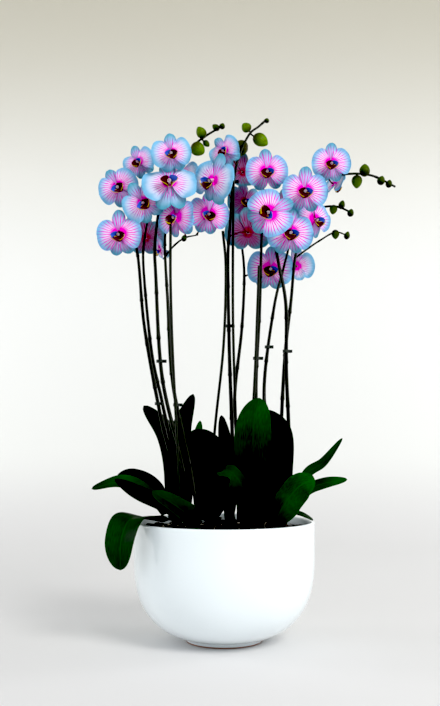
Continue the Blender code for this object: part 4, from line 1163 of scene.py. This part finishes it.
class ORCHID_OT_flowers(bpy.types.Operator):
    """Open the flowers: three sepals, two broad petals, a lobed lip and a column each"""

    bl_idname = "orchid.flowers"
    bl_label = "Flowers"

    def execute(self, context):
        look = context.scene.orchid_flower
        petals = [
            ("petal_front", (look.body, look.edge, look.vein, look.heart), 0.98, 0.66, 0.06),
            ("petal_back", (look.back_body, look.back_edge, look.back_vein, look.back_heart),
             1.0, 0.46, 0.2),
            ("sepal_front", (look.sepal_body, look.sepal_edge, look.sepal_vein, look.heart),
             0.95, 0.24, 0.06)]
        front, back, sepal = (finish(finish_petal, *values) for values in petals)
        lip = finish(finish_lip, "lip", look.lip, look.gold, look.lobe)
        column = finish(finish_plain, "column", (0.86, 0.78, 0.84), (0.50, 0.16, 0.30), 0.3,
                        260.0)
        for number, name in enumerate(FLOWERS):
            self.flower(name, look.thickness, [front, back, lip, column, sepal], number)
        return {"FINISHED"}

    def tepal(self, shape, place, layout, thickness, chance, tone, sides):
        """One sepal or petal. Half the width is a power of the sine of the way along it;
        the blade arches over its middle, its tip bends back and its edge ripples."""
        angle, long, wide, peak, blunt, set_out, arch, bend, ripple, lean = layout
        along = (1 - np.cos(np.linspace(0.035, 0.985, 30) * math.pi)) / 2
        half = 0.5 * wide * np.maximum(np.sin(math.pi * along**peak), 0.0) ** blunt
        over, along = np.broadcast_arrays(np.linspace(-1, 1, 25), along[:, None])
        x, y = np.maximum(half, 0.02)[:, None] * over, long * along
        phase = chance.uniform(0, math.tau, 3)
        z = (set_out - arch * (x / (0.5 * wide)) ** 2 - bend * y**2 / long**2
             + ripple * np.abs(over) ** 2.5 * np.sin(9.0 * y / long + 2.2 * over + phase[0])
             + 0.4 * ripple * np.sin(15.0 * x / wide + phase[1]) * (y / long) ** 2)
        z = z + 0.008 * np.exp(-(x / 0.02) ** 2) * (1 - y / long)
        fan = np.arctan2(x, y + 0.10 * long)
        reach = np.sqrt(x**2 + y**2) / long
        inside = np.minimum(1 - np.abs(over) ** 1.3, (1 - y / long) * 2.4)
        y, z = turned(y, z, math.radians(lean))
        x, y = turned(x, y + 0.03, math.radians(angle - 90))
        thin = thickness * (0.35 + 0.65 * np.clip(inside * 3, 0, 1))
        shape.sheet(place(np.stack([x, y, z], axis=-1)), thin, sides,
                    np.stack([fan + phase[2], reach], axis=-1),
                    np.stack([inside, np.full(x.shape, tone)], axis=-1))

    def lobe(self, shape, place, centre, spread, rise, sweep, tone, lean, turn, gilt=0):
        """A cupped lobe: a patch of a bowl-shaped surface, its width a power of the sine of
        the way up it. Its gold runs along the edge on the gilt side, or round its base."""
        along = np.linspace(0.02, 0.98, 14)
        half = spread * np.maximum(np.sin(math.pi * along**0.9) ** 0.55, 0.12)
        over, along = np.broadcast_arrays(np.linspace(-1, 1, 13), along[:, None])
        x, y = half[:, None] * over, rise * along
        z = sweep * along**1.6 + 0.9 * x**2 / spread
        clear = ease(-0.3, 0.5, -gilt * over) if gilt else ease(0.2, 0.45, along)
        inside = np.minimum(1 - np.abs(over), (1 - along) * 2) + 0.7 * clear
        rotate = np.array(Matrix.Rotation(math.radians(turn), 3, "Z")
                          @ Matrix.Rotation(math.radians(lean), 3, "X"))
        shape.sheet(place(np.stack([x, y, z], axis=-1) @ rotate.T + centre), LIP_SHEET, (2, 2),
                    np.stack([over, along], axis=-1),
                    np.stack([inside, np.full(x.shape, tone)], axis=-1))

    def flower(self, name, thickness, finishes, number):
        """A flower, drawn in shares of its span: a layout is a blade's angle round the
        flower, its shape and its lean. The lip has a middle lobe and two side lobes."""
        spec = FLOWERS[name]
        where, size, tone, blue = flower_frame(spec), spec[4], spec[8], spec[9]
        chance = np.random.default_rng(100 + number)
        shape = Shape()

        def place(points):
            return (points * size) @ where[:3, :3].T + where[:3, 3]

        def wobble(spread):
            return chance.normal(0, spread)

        layouts = [(90 + wobble(3), *UPPER_SEPAL, wobble(3))]
        for angle, blade, lean in ((240, LOWER_SEPAL, -10), (300, LOWER_SEPAL, -10),
                                   (6, RIGHT_PETAL, 2), (174, LEFT_PETAL, 2)):
            layouts.append((angle + wobble(5), *blade, lean))
        # flower_16 takes the back finish on its front too: painted shade.
        front, back = TURNED_AND_SHADED_FLOWERS.get(name, (0, 1))
        for turn, layout in enumerate(layouts):
            sides = (4 if turn < 3 and front == 0 else front, back)
            self.tepal(shape, place, layout, thickness, chance, tone, sides)
        self.lobe(shape, place, (-0.014 * blue, -0.045, 0.05), 0.122, 0.225, 0.03, 0.2, 30,
                  180 - 14 * blue)
        for side in (-1, 1):
            self.lobe(shape, place, (side * 0.030, -0.085, 0.055), 0.100, 0.205, 0.02,
                      1.0 if side == blue else 0.30, 44, -80 * side, side)
        column = [(0, 0.0, 0.0), (0, 0.0, 0.04), (0, -0.012, 0.085), (0, -0.03, 0.112),
                  (0, -0.036, 0.118)]
        path = place(curve_through(column, 5))
        thick = np.interp(np.linspace(0, 1, len(path)), [0, 0.5, 0.8, 0.93, 1.0],
                          [0.026, 0.030, 0.038, 0.034, 0.010]) * size
        shape.rod(path, thick, 12, 3, 0.5)
        for side in (-1, 1):
            tendril = [(side * 0.008, -0.19, 0.125), (side * 0.03, -0.205, 0.15),
                       (side * 0.045, -0.185, 0.165), (side * 0.03, -0.165, 0.16)]
            path = place(curve_through(tendril, 5))
            shape.rod(path, np.linspace(0.006, 0.002, len(path)) * size, 6, 2, 0.1)
        shape.finish(name + "_open", finishes, "flower", [name], 70)


# ---------------------------------------------------------------------------- stage


class ORCHID_OT_stage(bpy.types.Operator):
    """Set the pale floor with its swept backdrop, the soft lights and the camera"""

    bl_idname = "orchid.stage"
    bl_label = "Stage, lights and camera"

    def execute(self, context):
        scene = context.scene
        stage = scene.orchid_stage
        self.floor(stage)
        self.light("key_light", (1.7, -2.2, 2.1), 1.3, stage.key, (1.0, 0.99, 0.97))
        self.light("fill_light", (-2.2, -1.8, 1.2), 1.8, stage.fill, (0.93, 0.96, 1.0))
        for number, side in ((1, -1), (2, 1)):
            self.light(f"backdrop_light_{number}", (2.6 * side, 0.7, 0.9), 1.4, stage.backdrop,
                       (1.0, 1.0, 1.0), (-0.6 * side, 2.8, 0.5))
        scene.world = bpy.data.worlds.new("soft_room")
        scene.world.use_nodes = True
        room = scene.world.node_tree.nodes["Background"].inputs
        room["Color"].default_value = (*ROOM_COLOUR, 1)
        room["Strength"].default_value = ROOM_STRENGTH
        lens = bpy.data.cameras.new("camera")
        lens.lens, lens.sensor_width = LENS, SENSOR_WIDTH
        lens.clip_start, lens.clip_end = CLIP_START, CLIP_END
        camera = bpy.data.objects.new("camera", lens)
        camera.location = CAMERA_PLACE
        camera.rotation_euler = (math.radians(CAMERA_TILT), 0.0, 0.0)
        scene.collection.objects.link(camera)
        scene.camera = camera
        levels = scene.view_settings
        levels.view_transform, levels.look = "Standard", "None"
        levels.use_curve_mapping = True
        levels.curve_mapping.black_level = (BLACK_LEVEL,) * 3
        levels.curve_mapping.white_level = (WHITE_LEVEL,) * 3
        return {"FINISHED"}

    def floor(self, stage):
        """A floor that turns up into a backdrop along a quarter circle."""
        turn = np.linspace(-math.pi / 2, 0, 24)[1:]
        curve = np.column_stack([1.2 + 1.6 * np.cos(turn), 1.6 + 1.6 * np.sin(turn)])
        profile = np.vstack([[(-4.0, 0.0), (0.6, 0.0), (1.2, 0.0)], curve,
                             [(2.8, 3.0), (2.8, 6.0)]])
        grid = np.stack(np.broadcast_arrays(np.linspace(-6, 6, 13), profile[:, :1],
                                            profile[:, 1:]), axis=-1)
        mesh = bpy.data.meshes.new("floor")
        mesh.from_pydata(grid.reshape(-1, 3).tolist(), [], grid_quads(len(profile), 13).tolist())
        mesh.shade_smooth()
        mesh.materials.append(finish(finish_paper, "floor_paper", stage.near_painted_shade, stage.floor,
                                     stage.upper))
        floor = bpy.data.objects.new("floor", mesh)
        bpy.context.scene.collection.objects.link(floor)

    def light(self, name, place, size, energy, tint, target=(0.0, 0.0, 0.5)):
        lamp = bpy.data.lights.new(name, "AREA")
        lamp.energy, lamp.size, lamp.color = energy, size, tint
        made = bpy.data.objects.new(name, lamp)
        made.location = place
        made.rotation_euler = (Vector(target) - made.location).to_track_quat("-Z", "Y").to_euler()
        bpy.context.scene.collection.objects.link(made)


class ORCHID_PT_panel(bpy.types.Panel):
    """The orchid's pieces, with the sizes and colours of each"""

    bl_idname = "ORCHID_PT_panel"
    bl_label = "Potted orchid"
    bl_space_type = "VIEW_3D"
    bl_region_type = "UI"
    bl_category = "Orchid"

    def draw(self, context):
        for operator, group in STEPS:
            box = self.layout.box()
            box.operator(operator)
            if group:
                held = getattr(context.scene, group)
                for label in type(held).__annotations__:
                    box.prop(held, label)


STEPS = [("orchid.bowl", "orchid_bowl"), ("orchid.bark", "orchid_bark"),
         ("orchid.leaves", "orchid_leaf"), ("orchid.spikes", "orchid_spike"),
         ("orchid.stakes", None), ("orchid.flowers", "orchid_flower"),
         ("orchid.stage", "orchid_stage")]
GROUPS = {"orchid_bowl": BowlSettings, "orchid_bark": BarkSettings, "orchid_leaf": LeafSettings,
          "orchid_spike": SpikeSettings, "orchid_flower": FlowerSettings,
          "orchid_stage": StageSettings}
CLASSES = (*GROUPS.values(), ORCHID_OT_bowl, ORCHID_OT_bark, ORCHID_OT_leaves, ORCHID_OT_spikes,
           ORCHID_OT_stakes, ORCHID_OT_flowers, ORCHID_OT_stage, ORCHID_PT_panel)


def register():
    for item in CLASSES:
        bpy.utils.register_class(item)
    for label, group in GROUPS.items():
        setattr(bpy.types.Scene, label, PointerProperty(type=group))


def unregister():
    for label in GROUPS:
        delattr(bpy.types.Scene, label)
    for item in reversed(CLASSES):
        bpy.utils.unregister_class(item)


def main():
    register()
    for operator, _ in STEPS:
        module, call = operator.split(".")
        getattr(getattr(bpy.ops, module), call)()
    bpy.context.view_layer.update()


if __name__ == "__main__":
    main()
